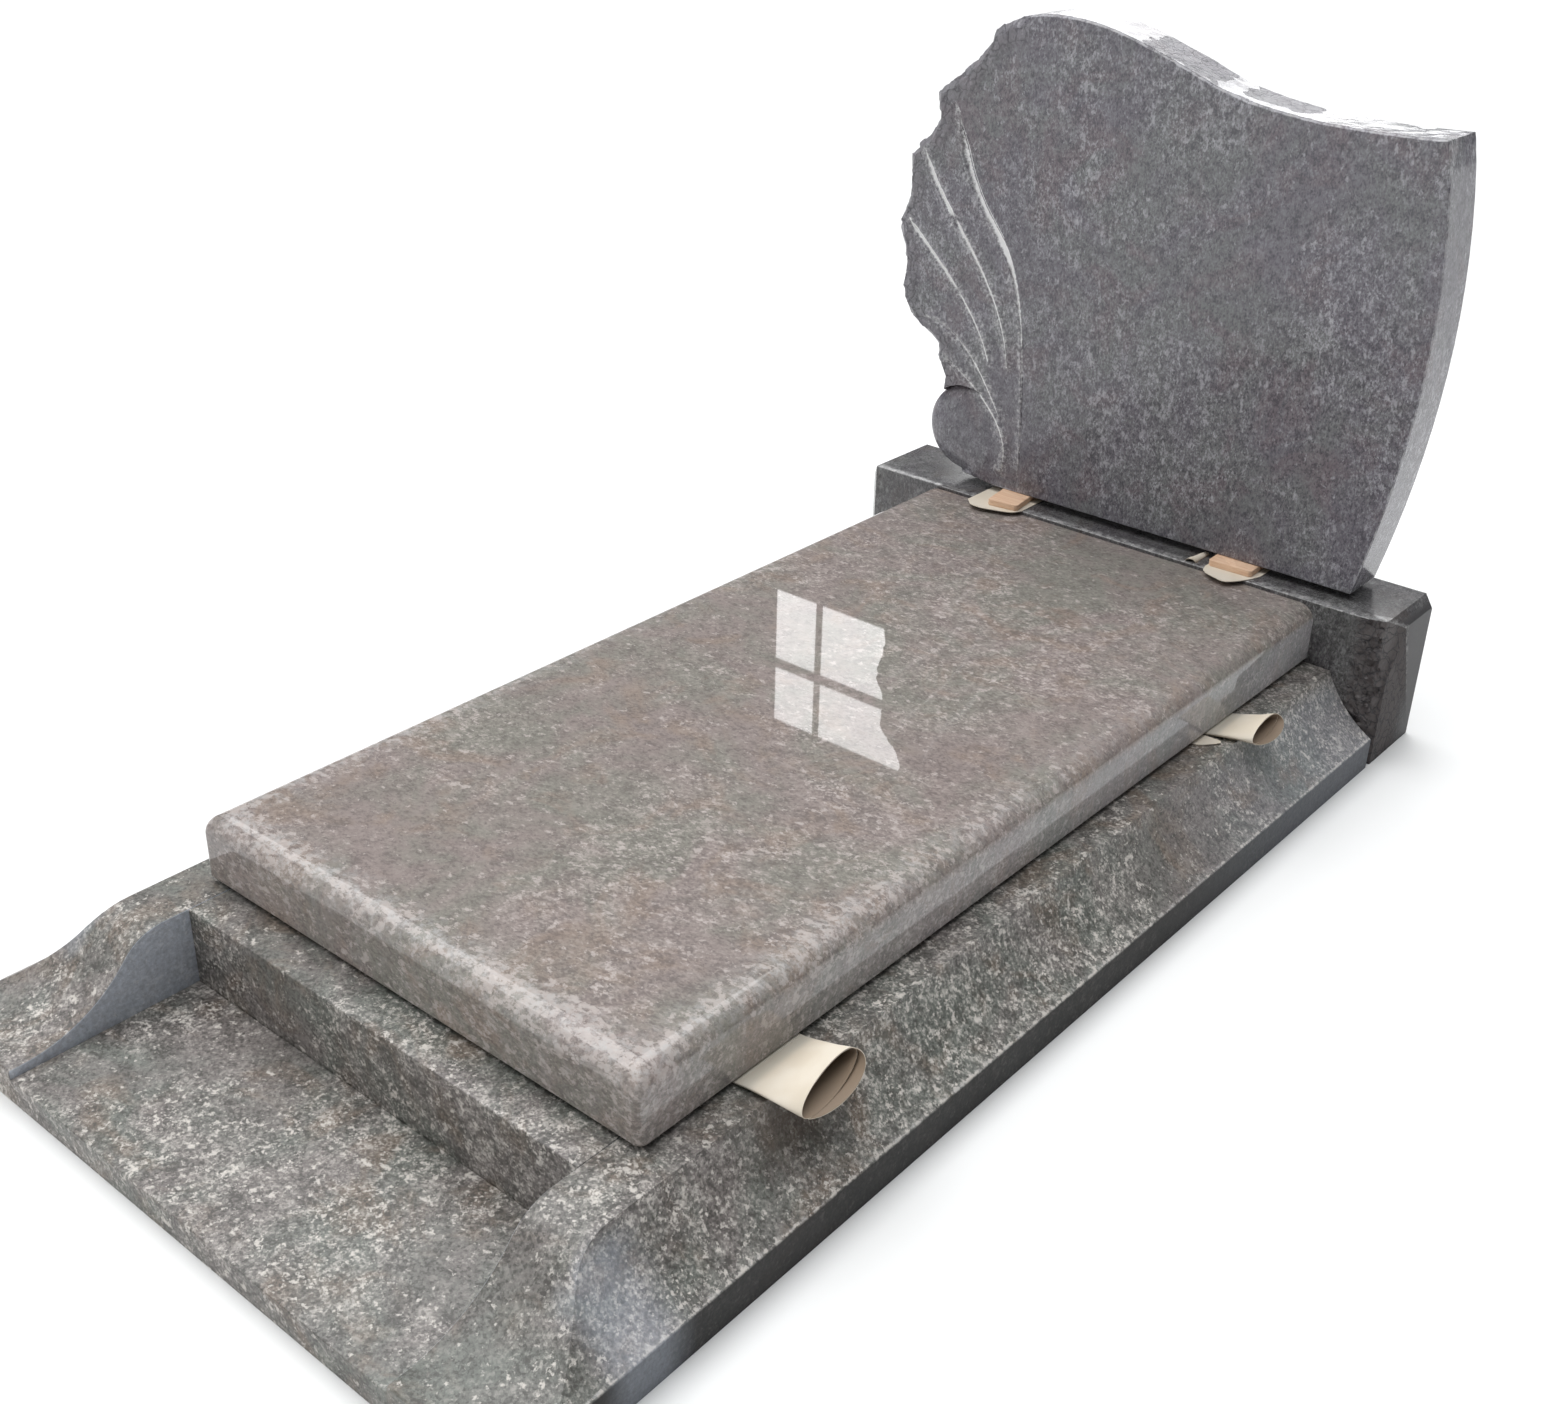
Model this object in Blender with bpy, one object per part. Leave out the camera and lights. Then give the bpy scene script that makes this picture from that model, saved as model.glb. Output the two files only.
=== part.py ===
"""Granite grave monument: headstone, plinth, ledger slab and kerb frame.

Metres, +Z up. X runs across the monument and Y from its foot to its head.
The origin is on the ground, at the centre of the monument's footprint.
"""
import math
import random
from collections import namedtuple

import bmesh
import bpy
from mathutils import Vector
from mathutils.geometry import delaunay_2d_cdt

Ray = namedtuple("Ray", "controls half_width depth")
Block = namedtuple("Block", "in_from_end width shown turn")
Roll = namedtuple("Roll", "root_width end_width end_height tilt reach rise drift slant")

# Joints between touching stones, and the arris that a mason takes off a sawn edge
JOINT = 0.0003
ARRIS = 0.002

# How far a cutting guide stands outside the stone that it shapes
GUIDE_CLEARANCE = 0.010

# Side kerbs
MONUMENT_WIDTH = 1.000
KERB_LENGTH = 1.816
KERB_WIDTH = 0.162
KERB_HEIGHT = 0.1425
KERB_TOP_WIDTH = 0.077
KERB_LIP_HEIGHT = 0.052
COVE_SAG = 0.010
COVE_STEPS = 10

# Ogee at the foot of each side kerb: a hollow arc and a round arc that meet
OGEE_FOOT_HEIGHT = 0.047
OGEE_FOOT_FLAT = 0.015
OGEE_RUN = 0.205
OGEE_HOLLOW_SHARE = 0.71
OGEE_STEPS = 18

# Ledger slab, which rests over each side kerb and over the cross kerb
SLAB_LENGTH = 1.508
SLAB_THICKNESS = 0.090
SLAB_BEARING = 0.036
SLAB_EDGE_RADIUS = 0.028
SLAB_EDGE_STEPS = 7
SLAB_CORNER_RADIUS = 0.010
SLAB_CORNER_STEPS = 4

# Cross kerb at the foot, which shows in front of the slab, and the apron below it
RISER_DEPTH = 0.090
RISER_SHOWN = 0.054
APRON_THICKNESS = 0.036

# Plinth, whose top stands a little above the slab's
PLINTH_STEP = 0.0065
PLINTH_BACK_SHOWN = 0.023
PLINTH_END_CHAMFER = 0.014
PLINTH_END_CHAMFER_DROP = 0.020

# Headstone
HEADSTONE_WIDTH = 0.959
HEADSTONE_HEIGHT = 0.787
HEADSTONE_THICKNESS = 0.095
HEADSTONE_SETBACK = 0.039
SMOOTH_STEPS = 16

# Pitched edge: facets with uneven bevels at the front and the back
PITCH_SPACING = 0.024
PITCH_JOG = 0.0025
PITCH_BEVEL = 0.013
PITCH_HOLLOW = 0.007
TOP_PITCH_SHARE = 0.15
FRONT_BEVEL_RANGE = (0.6, 1.1)
FRONT_FALL_RANGE = (0.6, 1.4)
BACK_BEVEL_RANGE = (0.4, 0.9)
HOLLOW_DEPTHS = (0.42, 0.70)

# Round boss at the foot of the pitched edge
BOSS_RADIUS = 0.0765
BOSS_DROP = 0.017
BOSS_STEP = 0.002
BOSS_FLAT_SHARE = 0.35
BOSS_RING_SHARES = (0.35, 0.55, 0.72, 0.85, 0.94)
BOSS_RING_ANGLE = 12
BOSS_EDGE_STEPS = 14
BOSS_NOTCH_ANGLE = 128
BOSS_FOOT_ANGLE = 258
BOSS_FALL_START = 62
BOSS_FALL_END = 292
BOSS_FALL_FADE = 30

# Headstone lines, as shares of its own width and height.
# X is 0 at the middle of its width, Z is 0 at its underside.
TOP_CREST = ((0.100, 0.908), (-0.012, 0.957), (-0.152, 1.033), (-0.277, 0.986))
TOP_SADDLE = ((0.469, 0.877), (0.346, 0.872), (0.225, 0.866), (0.100, 0.908))
RIGHT_EDGE = ((0.447, 0.000), (0.503, 0.287), (0.521, 0.587), (0.469, 0.877))
PITCHED_EDGE = (
    (-0.313, 0.971), (-0.332, 0.951), (-0.338, 0.928), (-0.354, 0.904), (-0.380, 0.871),
    (-0.412, 0.847), (-0.429, 0.830), (-0.435, 0.815), (-0.429, 0.788), (-0.431, 0.765),
    (-0.449, 0.731), (-0.477, 0.699), (-0.487, 0.683), (-0.487, 0.649), (-0.482, 0.597),
    (-0.494, 0.569), (-0.500, 0.544), (-0.498, 0.518), (-0.490, 0.480), (-0.486, 0.435),
    (-0.488, 0.394), (-0.476, 0.349), (-0.438, 0.309), (-0.402, 0.282), (-0.401, 0.262),
)
BOSS_CENTRE = (-0.326, 0.109)
BOTTOM_LEFT = (-0.250, 0.000)

# Carved rays, each along a smooth curve of four control points
RAYS = (
    Ray(((-0.381, 0.794), (-0.303, 0.429), (-0.217, 0.698), (-0.198, 0.053)), 0.0085, 0.0060),
    Ray(((-0.448, 0.705), (-0.399, 0.558), (-0.265, 0.468), (-0.243, 0.276)), 0.0055, 0.0045),
    Ray(((-0.470, 0.546), (-0.413, 0.473), (-0.321, 0.397), (-0.283, 0.278)), 0.0055, 0.0045),
    Ray(((-0.418, 0.344), (-0.330, 0.326), (-0.283, 0.221), (-0.250, 0.160)), 0.0045, 0.0035),
    Ray(((-0.378, 0.262), (-0.330, 0.235), (-0.205, 0.135), (-0.240, 0.040)), 0.0045, 0.0035),
)
RAY_STEPS = 22
RAY_TIP_SHARE = 0.08
RAY_TAIL_SHARE = 0.55
RAY_TAIL_WIDTH = 0.25
CARVING_MARGIN = 0.0025

# Wooden blocks and card under the headstone, placed in from the ends of its width
CARD_THICKNESS = 0.0012
BLOCK_THICKNESS = 0.0099
BLOCK_BEARING = 0.030
BLOCK_CORNER = 0.004
CARD_BEARING = 0.036
RIGHT_BLOCK = Block(in_from_end=0.243, width=0.075, shown=0.028, turn=2.0)
LEFT_BLOCK = Block(in_from_end=0.290, width=0.056, shown=0.056, turn=8.0)

# Cut fronts of the cards: how far across from the block's middle, and how far shown
RIGHT_CARD_CUT = (
    (-0.0385, 0.033), (-0.0315, 0.056), (0.0125, 0.076),
    (0.0265, 0.060), (0.0405, 0.030), (0.0475, 0.012),
)
LEFT_CARD_CUT = (
    (-0.060, 0.059), (-0.042, 0.079), (-0.019, 0.080), (0.031, 0.061), (0.040, 0.043),
)

# Curled scrap of card beside the right block, and its distance from that block's middle
SCRAP_OFFSET = 0.0675
SCRAP_LENGTH = 0.050
SCRAP_HALF_WIDTH = 0.008
SCRAP_SHOWN = 0.036
SCRAP_SLANT = 0.012
SCRAP_ARCH_SHARE = 0.55
SCRAP_END_SHARE = 0.35
SCRAP_SPREAD_START = 0.25
SCRAP_STEPS = 8

# Rolled card that is pressed flat between the slab and the kerb
ROLL_WALL = 0.0024
ROLL_PRESSED_GAP = 0.0016
ROLL_INSET = 0.040
ROLL_SIDES = 18
ROLL_STEPS = 5
ROLL_SWELL = 1.7
ROLL_PRESSED_POWER = 5.0
ROLL_OPEN_POWER = 2.0
ROLL_ROUNDING = 1.6
ROLL_KERB_REACH = 0.001
FOOT_ROLL = Roll(root_width=0.112, end_width=0.098, end_height=0.027, tilt=24.0,
                 reach=0.090, rise=0.021, drift=-0.006, slant=0.008)
HEAD_ROLL = Roll(root_width=0.084, end_width=0.078, end_height=0.028, tilt=10.0,
                 reach=0.066, rise=0.014, drift=0.008, slant=0.003)
LEFT_FOOT_ROLL = Roll(root_width=0.112, end_width=0.106, end_height=0.024, tilt=5.0,
                      reach=0.040, rise=0.014, drift=0.0, slant=0.003)
LEFT_HEAD_ROLL = Roll(root_width=0.084, end_width=0.080, end_height=0.022, tilt=5.0,
                      reach=0.036, rise=0.013, drift=0.0, slant=0.003)
FOOT_ROLL_PLACE = 0.200
HEAD_ROLL_PLACE = 0.282

# Flat flap of card beside the head-end roll, and its distance from that roll
FLAP_OUTLINE = ((-0.026, -0.010), (-0.003, -0.040), (0.036, 0.001), (-0.026, 0.001))
FLAP_OFFSET = 0.044

# Places that follow from the sizes above
SLAB_BED = 2 * (ROLL_WALL + JOINT) + ROLL_PRESSED_GAP
HEADSTONE_BED = CARD_THICKNESS + BLOCK_THICKNESS + 3 * JOINT
PLINTH_DEPTH = HEADSTONE_SETBACK + HEADSTONE_THICKNESS + PLINTH_BACK_SHOWN
TOTAL_LENGTH = KERB_LENGTH + PLINTH_DEPTH
HALF_WIDTH = MONUMENT_WIDTH / 2
KERB_INNER_X = HALF_WIDTH - KERB_WIDTH
SLAB_HALF_WIDTH = KERB_INNER_X + SLAB_BEARING
FOOT_Y = -TOTAL_LENGTH / 2
PLINTH_FRONT_Y = FOOT_Y + KERB_LENGTH
SLAB_FOOT_Y = PLINTH_FRONT_Y - SLAB_LENGTH
RISER_FRONT_Y = SLAB_FOOT_Y - RISER_SHOWN
HEADSTONE_FRONT_Y = PLINTH_FRONT_Y + HEADSTONE_SETBACK
SLAB_BOTTOM_Z = KERB_HEIGHT + SLAB_BED
PLINTH_HEIGHT = SLAB_BOTTOM_Z + SLAB_THICKNESS + PLINTH_STEP
HEADSTONE_BOTTOM_Z = PLINTH_HEIGHT + HEADSTONE_BED
HEADSTONE_X = HEADSTONE_WIDTH / 2 - HALF_WIDTH
RIGHT_BLOCK_X = HEADSTONE_X + HEADSTONE_WIDTH / 2 - RIGHT_BLOCK.in_from_end
LEFT_BLOCK_X = HEADSTONE_X - HEADSTONE_WIDTH / 2 + LEFT_BLOCK.in_from_end


def clear_scene():
    for item in list(bpy.data.objects):
        bpy.data.objects.remove(item)


def material(name, colour, roughness):
    result = bpy.data.materials.new(name)
    result.use_nodes = True
    shader = result.node_tree.nodes["Principled BSDF"]
    shader.inputs["Base Color"].default_value = (*colour, 1.0)
    shader.inputs["Roughness"].default_value = roughness
    shader.inputs["Metallic"].default_value = 0.0
    result.diffuse_color = (*colour, 1.0)
    return result


def add_object(name, mesh, location=(0.0, 0.0, 0.0), turn=0.0):
    item = bpy.data.objects.new(name, mesh)
    item.location = location
    item.rotation_euler = (0.0, 0.0, math.radians(turn))
    bpy.context.collection.objects.link(item)
    return item


def mesh_from(name, vertices, faces, finish=None):
    """Closed mesh from vertices and faces, with its faces turned outwards."""
    shape = bmesh.new()
    points = [shape.verts.new(vertex) for vertex in vertices]
    for face in faces:
        shape.faces.new([points[index] for index in face])
    bmesh.ops.recalc_face_normals(shape, faces=shape.faces)
    mesh = bpy.data.meshes.new(name)
    shape.to_mesh(mesh)
    shape.free()
    if finish is not None:
        mesh.materials.append(finish)
    return mesh


def skin_faces(levels, count, closed=False):
    """Quads between rings of count points that follow each other in one list."""
    faces = []
    for level in range(levels if closed else levels - 1):
        low = level * count
        high = (level + 1) % levels * count
        for index in range(count):
            following = (index + 1) % count
            faces.append((low + index, low + following, high + following, high + index))
    return faces


def loft(name, rings, finish=None):
    """Skin over rings that have the same number of points, with flat ends."""
    count = len(rings[0])
    vertices = [point for ring in rings for point in ring]
    faces = skin_faces(len(rings), count)
    faces.append(tuple(reversed(range(count))))
    faces.append(tuple(range(len(vertices) - count, len(vertices))))
    return mesh_from(name, vertices, faces, finish)


def prism(name, outline, start, end, place, finish=None):
    """Outline drawn out from start to end, where place makes a point of each pair."""
    rings = [[place(pair, along) for pair in outline] for along in (start, end)]
    return loft(name, rings, finish)


def upright(pair, level):
    """Point of a plan outline at a level, for prisms that are drawn upwards."""
    return pair[0], pair[1], level


def mix(low, high, share):
    return low + (high - low) * share


def clamp(value):
    return max(0.0, min(1.0, value))


def bezier(controls, share):
    rest = 1.0 - share
    weights = (rest ** 3, 3 * share * rest ** 2, 3 * share ** 2 * rest, share ** 3)
    across = sum(weight * point[0] for weight, point in zip(weights, controls))
    up = sum(weight * point[1] for weight, point in zip(weights, controls))
    return across, up


def arc_between(start, end, sag, steps):
    """Circular arc from start to end that bulges by sag to the right of its chord."""
    chord = Vector(end) - Vector(start)
    half = chord.length / 2
    radius = (half * half + sag * sag) / (2 * sag)
    middle = (Vector(start) + Vector(end)) / 2
    side = Vector((chord.y, -chord.x)).normalized()
    centre = middle - side * (radius - sag)
    sweep = math.asin(half / radius)
    points = []
    for index in range(steps + 1):
        angle = mix(-sweep, sweep, index / steps)
        along = chord.normalized() * math.sin(angle) * radius
        points.append(tuple(centre + along + side * math.cos(angle) * radius))
    return points


def plinth_section(drop, set_in):
    """Side view of the plinth, lowered and set in by the chamfer at its ends."""
    front = set_in
    back = PLINTH_DEPTH - min(set_in, ARRIS)
    top = PLINTH_HEIGHT - drop
    return (
        (front, 0.0), (back, 0.0), (back, top - ARRIS), (back - ARRIS, top),
        (front + ARRIS, top), (front, top - ARRIS),
    )


def plinth_mesh(finish):
    """Block with small arrises on top and a chamfer round each end."""
    full = plinth_section(0.0, 0.0)
    end = plinth_section(PLINTH_END_CHAMFER_DROP, PLINTH_END_CHAMFER)
    stations = (
        (-HALF_WIDTH, end), (-HALF_WIDTH + PLINTH_END_CHAMFER, full),
        (HALF_WIDTH - PLINTH_END_CHAMFER, full), (HALF_WIDTH, end),
    )
    rings = [[(x, y, z) for y, z in outline] for x, outline in stations]
    return loft("plinth", rings, finish)


def kerb_section():
    """Cross section of the right kerb: flat top, hollow cove, lip and flat base."""
    shoulder = (KERB_INNER_X + KERB_TOP_WIDTH, KERB_HEIGHT)
    lip = (HALF_WIDTH - ARRIS, KERB_LIP_HEIGHT)
    return [
        (KERB_INNER_X, 0.0), (KERB_INNER_X, KERB_HEIGHT - ARRIS),
        (KERB_INNER_X + ARRIS, KERB_HEIGHT),
        *arc_between(shoulder, lip, COVE_SAG, COVE_STEPS),
        (HALF_WIDTH, KERB_LIP_HEIGHT - ARRIS), (HALF_WIDTH, 0.0),
    ]


def ogee_height(along):
    """Height of the ogee at a distance from its low end, up to the kerb's own height."""
    half_angle = math.atan2(KERB_HEIGHT - OGEE_FOOT_HEIGHT, OGEE_RUN)
    radii = OGEE_RUN / math.sin(2 * half_angle)
    hollow = radii * OGEE_HOLLOW_SHARE
    crown = radii - hollow
    if along <= hollow * math.sin(2 * half_angle):
        return OGEE_FOOT_HEIGHT + hollow - math.sqrt(hollow ** 2 - along ** 2)
    return KERB_HEIGHT - crown + math.sqrt(crown ** 2 - (OGEE_RUN - along) ** 2)


def ogee_outline():
    """Side view of a kerb's envelope, with the ogee at its foot end."""
    low = FOOT_Y + OGEE_FOOT_FLAT
    marks = [OGEE_RUN * index / OGEE_STEPS for index in range(OGEE_STEPS)]
    curve = [(low + mark, ogee_height(mark)) for mark in marks]
    above = KERB_HEIGHT + GUIDE_CLEARANCE
    behind = PLINTH_FRONT_Y + GUIDE_CLEARANCE
    return [
        (FOOT_Y, -GUIDE_CLEARANCE), (FOOT_Y, OGEE_FOOT_HEIGHT - ARRIS),
        (FOOT_Y + ARRIS, OGEE_FOOT_HEIGHT), *curve,
        (low + OGEE_RUN, KERB_HEIGHT + JOINT), (low + OGEE_RUN, above),
        (behind, above), (behind, -GUIDE_CLEARANCE),
    ]


def add_kerb(name, side, finish):
    """Side kerb: the cove section drawn along Y, and shaped by the ogee's side view."""
    body = prism(
        name, kerb_section(), FOOT_Y, PLINTH_FRONT_Y - JOINT,
        lambda pair, along: (side * pair[0], along, pair[1]), finish)
    guide_body = prism(
        name + "_guide", ogee_outline(), side * (KERB_INNER_X - GUIDE_CLEARANCE),
        side * (HALF_WIDTH + GUIDE_CLEARANCE),
        lambda pair, along: (along, pair[0], pair[1]))
    guide = add_object(name + "_guide", guide_body)
    guide.hide_render = True
    guide.display_type = "WIRE"
    cut = add_object(name, body).modifiers.new("ogee", "BOOLEAN")
    cut.operation = "INTERSECT"
    cut.solver = "EXACT"
    cut.object = guide


def block_between(name, low, high, finish):
    """Straight block with a small arris round its top."""
    rings = []
    for level, inset in ((low[2], 0.0), (high[2] - ARRIS, 0.0), (high[2], ARRIS)):
        left, front = low[0] + inset, low[1] + inset
        right, back = high[0] - inset, high[1] - inset
        rings.append([(left, front, level), (right, front, level),
                      (right, back, level), (left, back, level)])
    return loft(name, rings, finish)


def slab_ring(inset, level):
    """Plan of the slab: rounded corners at the foot and a square head end."""
    half = SLAB_HALF_WIDTH - inset
    head = PLINTH_FRONT_Y - JOINT
    foot = SLAB_FOOT_Y + inset
    radius = max(SLAB_CORNER_RADIUS - inset / 2, ARRIS)
    ring = [(half, head, level), (-half, head, level)]
    for side, start in ((-1, 180.0), (1, 270.0)):
        centre_x = side * (half - radius)
        for step in range(SLAB_CORNER_STEPS + 1):
            angle = math.radians(start + 90.0 * step / SLAB_CORNER_STEPS)
            ring.append((centre_x + radius * math.cos(angle),
                         foot + radius + radius * math.sin(angle), level))
    return ring


def slab_mesh(finish):
    """Slab with rounded top edges along both sides and the foot."""
    top = SLAB_BOTTOM_Z + SLAB_THICKNESS
    rings = [slab_ring(ARRIS, SLAB_BOTTOM_Z), slab_ring(0.0, SLAB_BOTTOM_Z + ARRIS)]
    for step in range(SLAB_EDGE_STEPS + 1):
        angle = math.radians(90.0 * step / SLAB_EDGE_STEPS)
        inset = SLAB_EDGE_RADIUS * (1 - math.cos(angle))
        level = top - SLAB_EDGE_RADIUS * (1 - math.sin(angle))
        rings.append(slab_ring(inset, level))
    return loft("ledger_slab", rings, finish)


def stone_point(share):
    return share[0] * HEADSTONE_WIDTH, share[1] * HEADSTONE_HEIGHT


def boss_point(angle, radius):
    centre = stone_point(BOSS_CENTRE)
    turn = math.radians(angle)
    return centre[0] + radius * math.cos(turn), centre[1] + radius * math.sin(turn)


def pitched_points(corners, noise):
    """Points along straight facets, with small jogs as a pitching tool leaves."""
    result = []
    for start, end in zip(corners, corners[1:]):
        first = Vector(start)
        chord = Vector(end) - first
        steps = max(1, round(chord.length / PITCH_SPACING))
        normal = Vector((-chord.y, chord.x)).normalized()
        for step in range(steps):
            jog = 0.0 if step == 0 else noise.uniform(-PITCH_JOG, PITCH_JOG)
            result.append(tuple(first + chord * (step / steps) + normal * jog))
    return result


def headstone_outline():
    """Outline anticlockwise from the bottom right, as (x, z, how rough its edge is)."""
    shares = [step / SMOOTH_STEPS for step in range(SMOOTH_STEPS)]
    curves = ((RIGHT_EDGE, 0.0), (TOP_SADDLE, TOP_PITCH_SHARE), (TOP_CREST, TOP_PITCH_SHARE))
    outline = [(*stone_point(bezier(curve, share)), rough)
               for curve, rough in curves for share in shares]
    corners = [stone_point(pair) for pair in (TOP_CREST[-1], *PITCHED_EDGE)]
    corners.append(boss_point(BOSS_NOTCH_ANGLE, BOSS_RADIUS))
    outline += [(*point, 1.0) for point in pitched_points(corners, random.Random(11))]
    for step in range(BOSS_EDGE_STEPS + 1):
        angle = mix(BOSS_NOTCH_ANGLE, BOSS_FOOT_ANGLE, step / BOSS_EDGE_STEPS)
        x, z = boss_point(angle, BOSS_RADIUS)
        outline.append((x, max(z, 0.0), 0.0))
    outline.append((*stone_point(BOTTOM_LEFT), 0.0))
    return outline


def inward_normals(outline):
    normals = []
    for index in range(len(outline)):
        before = Vector(outline[index - 1][:2])
        after = Vector(outline[(index + 1) % len(outline)][:2])
        along = (after - before).normalized()
        normals.append(Vector((-along.y, along.x)))
    return normals


def headstone_rings(outline):
    """Rings from front to back as (x, z, depth) with pitched bevels on the rough edge."""
    noise = random.Random(23)
    sections = []
    for (x, z, rough), inward in zip(outline, inward_normals(outline)):
        bevel = mix(ARRIS, PITCH_BEVEL * noise.uniform(*FRONT_BEVEL_RANGE), rough)
        fall = mix(ARRIS, PITCH_BEVEL * noise.uniform(*FRONT_FALL_RANGE), rough)
        back_bevel = mix(ARRIS, PITCH_BEVEL * noise.uniform(*BACK_BEVEL_RANGE), rough)
        hollows = [rough * noise.uniform(0.0, PITCH_HOLLOW) for _ in range(3)]
        stations = (
            (bevel, 0.0), (0.0, fall),
            (hollows[0], HOLLOW_DEPTHS[0] * HEADSTONE_THICKNESS),
            (hollows[1], HOLLOW_DEPTHS[1] * HEADSTONE_THICKNESS),
            (hollows[2], HEADSTONE_THICKNESS - back_bevel),
            (hollows[2] + back_bevel, HEADSTONE_THICKNESS),
        )
        spots = [(Vector((x, z)) + inward * inset, depth) for inset, depth in stations]
        sections.append([(spot.x, max(spot.y, 0.0), depth) for spot, depth in spots])
    return list(zip(*sections))


def ray_half_width(share, half_width):
    """A ray opens quickly from its tip, and closes slowly towards the stem."""
    opening = clamp(share / RAY_TIP_SHARE)
    closing = clamp((1.0 - share) / RAY_TAIL_SHARE)
    return half_width * opening * mix(RAY_TAIL_WIDTH, 1.0, closing)


def ray_lines():
    """Centre line of each ray with its half width and depth at every point."""
    lines = []
    for ray in RAYS:
        line = []
        for step in range(RAY_STEPS + 1):
            share = step / RAY_STEPS
            spot = Vector(stone_point(bezier(ray.controls, share)))
            width = ray_half_width(share, ray.half_width)
            line.append((spot, width, ray.depth * width / ray.half_width))
        lines.append(line)
    return lines


def ray_depth(point, lines):
    deepest = 0.0
    for line in lines:
        for (start, wide_a, deep_a), (end, wide_b, deep_b) in zip(line, line[1:]):
            chord = end - start
            share = clamp((point - start).dot(chord) / chord.length_squared)
            width = mix(wide_a, wide_b, share)
            if width > 0.0:
                away = (point - start - chord * share).length / width
                deepest = max(deepest, mix(deep_a, deep_b, share) * (1.0 - away))
    return deepest


def boss_depth(point):
    """Rounded fall of the boss towards its own edge, none on its right side."""
    offset = point - Vector(stone_point(BOSS_CENTRE))
    reach = offset.length / BOSS_RADIUS
    if reach <= BOSS_FLAT_SHARE or reach > 1.0 + 1e-6:
        return 0.0
    angle = math.degrees(math.atan2(offset.y, offset.x)) % 360.0
    fade = clamp(min(angle - BOSS_FALL_START, BOSS_FALL_END - angle) / BOSS_FALL_FADE)
    outward = clamp((reach - BOSS_FLAT_SHARE) / (1.0 - BOSS_FLAT_SHARE))
    return BOSS_DROP * fade * (1.0 - math.sqrt(1.0 - outward ** 2))


def edge_distance(point, ring):
    """Distance from a point to a closed ring, below zero outside it."""
    nearest = math.inf
    inside = False
    for start, end in zip(ring, ring[1:] + ring[:1]):
        chord = end - start
        share = clamp((point - start).dot(chord) / chord.length_squared)
        nearest = min(nearest, (point - start - chord * share).length)
        if (start.y > point.y) != (end.y > point.y):
            crossing = start.x + chord.x * (point.y - start.y) / chord.y
            inside = inside != (crossing > point.x)
    return nearest if inside else -nearest


def carving_lines(rays):
    """Lines that the front face has to follow: the rays' edges and beds, and the boss."""
    lines = []
    for line in rays:
        spots = [spot for spot, _, _ in line]
        left, right = [], []
        for index, (spot, width, _) in enumerate(line):
            before = spots[max(index - 1, 0)]
            after = spots[min(index + 1, len(spots) - 1)]
            along = (after - before).normalized()
            side = Vector((-along.y, along.x)) * width
            left.append(spot + side)
            right.append(spot - side)
        lines += [spots, left[1:], right[1:]]
    fall = range(BOSS_FALL_START, BOSS_FALL_END, BOSS_RING_ANGLE)
    for share in BOSS_RING_SHARES:
        lines.append([Vector(boss_point(angle, BOSS_RADIUS * share)) for angle in fall])
    rim = range(BOSS_FALL_START, BOSS_NOTCH_ANGLE, BOSS_RING_ANGLE // 2)
    for radius in (BOSS_RADIUS, BOSS_RADIUS + BOSS_STEP):
        lines.append([Vector(boss_point(angle, radius)) for angle in rim])
    return lines


def front_triangles(edge, rays):
    """Front face inside its edge: points, triangles, and where each edge point went."""
    count = len(edge)
    points = list(edge)
    links = [(index, (index + 1) % count) for index in range(count)]
    for line in carving_lines(rays):
        previous = None
        for spot in line:
            if edge_distance(spot, edge) < CARVING_MARGIN:
                previous = None
                continue
            points.append(spot)
            if previous is not None:
                links.append((previous, len(points) - 1))
            previous = len(points) - 1
    flat, _, triangles, sources, _, _ = delaunay_2d_cdt(points, links, [], 0, 1e-5, True)
    rim = {source: index for index, group in enumerate(sources)
           for source in group if source < count}
    faces = []
    for triangle in triangles:
        middle = sum((flat[index] for index in triangle), Vector((0.0, 0.0))) / 3
        if edge_distance(middle, edge) > 0.0:
            faces.append(tuple(triangle))
    return flat, faces, [rim[index] for index in range(count)]


def headstone_mesh(finish):
    """Front face cut to the carving's lines, pitched sides and a flat back."""
    front, second, *others = headstone_rings(headstone_outline())
    rays = ray_lines()
    flat, faces, previous = front_triangles([Vector(point[:2]) for point in front], rays)
    vertices = [(spot.x, ray_depth(spot, rays) + boss_depth(spot), spot.y) for spot in flat]
    lowered = [(x, z, depth + boss_depth(Vector((x, z)))) for x, z, depth in second]
    count = len(front)
    for ring in (lowered, *others):
        current = list(range(len(vertices), len(vertices) + count))
        vertices += [(x, depth, z) for x, z, depth in ring]
        for index in range(count):
            following = (index + 1) % count
            faces.append((previous[index], previous[following],
                          current[following], current[index]))
        previous = current
    faces.append(tuple(previous))
    return mesh_from("headstone", vertices, faces, finish)


def sheet_mesh(name, outline, finish):
    """Flat sheet of card lying on its own origin's level."""
    return prism(name, outline, JOINT, JOINT + CARD_THICKNESS, upright, finish)


def block_mesh(name, block, finish):
    """Packing block between the card and the headstone, with its front at -Y."""
    low = 2 * JOINT + CARD_THICKNESS
    half = block.width / 2
    front = -block.shown
    outline = (
        (-half + BLOCK_CORNER, front), (half - BLOCK_CORNER, front),
        (half, front + BLOCK_CORNER), (half, BLOCK_BEARING),
        (-half, BLOCK_BEARING), (-half, front + BLOCK_CORNER),
    )
    return prism(name, outline, low, low + BLOCK_THICKNESS, upright, finish)


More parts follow.
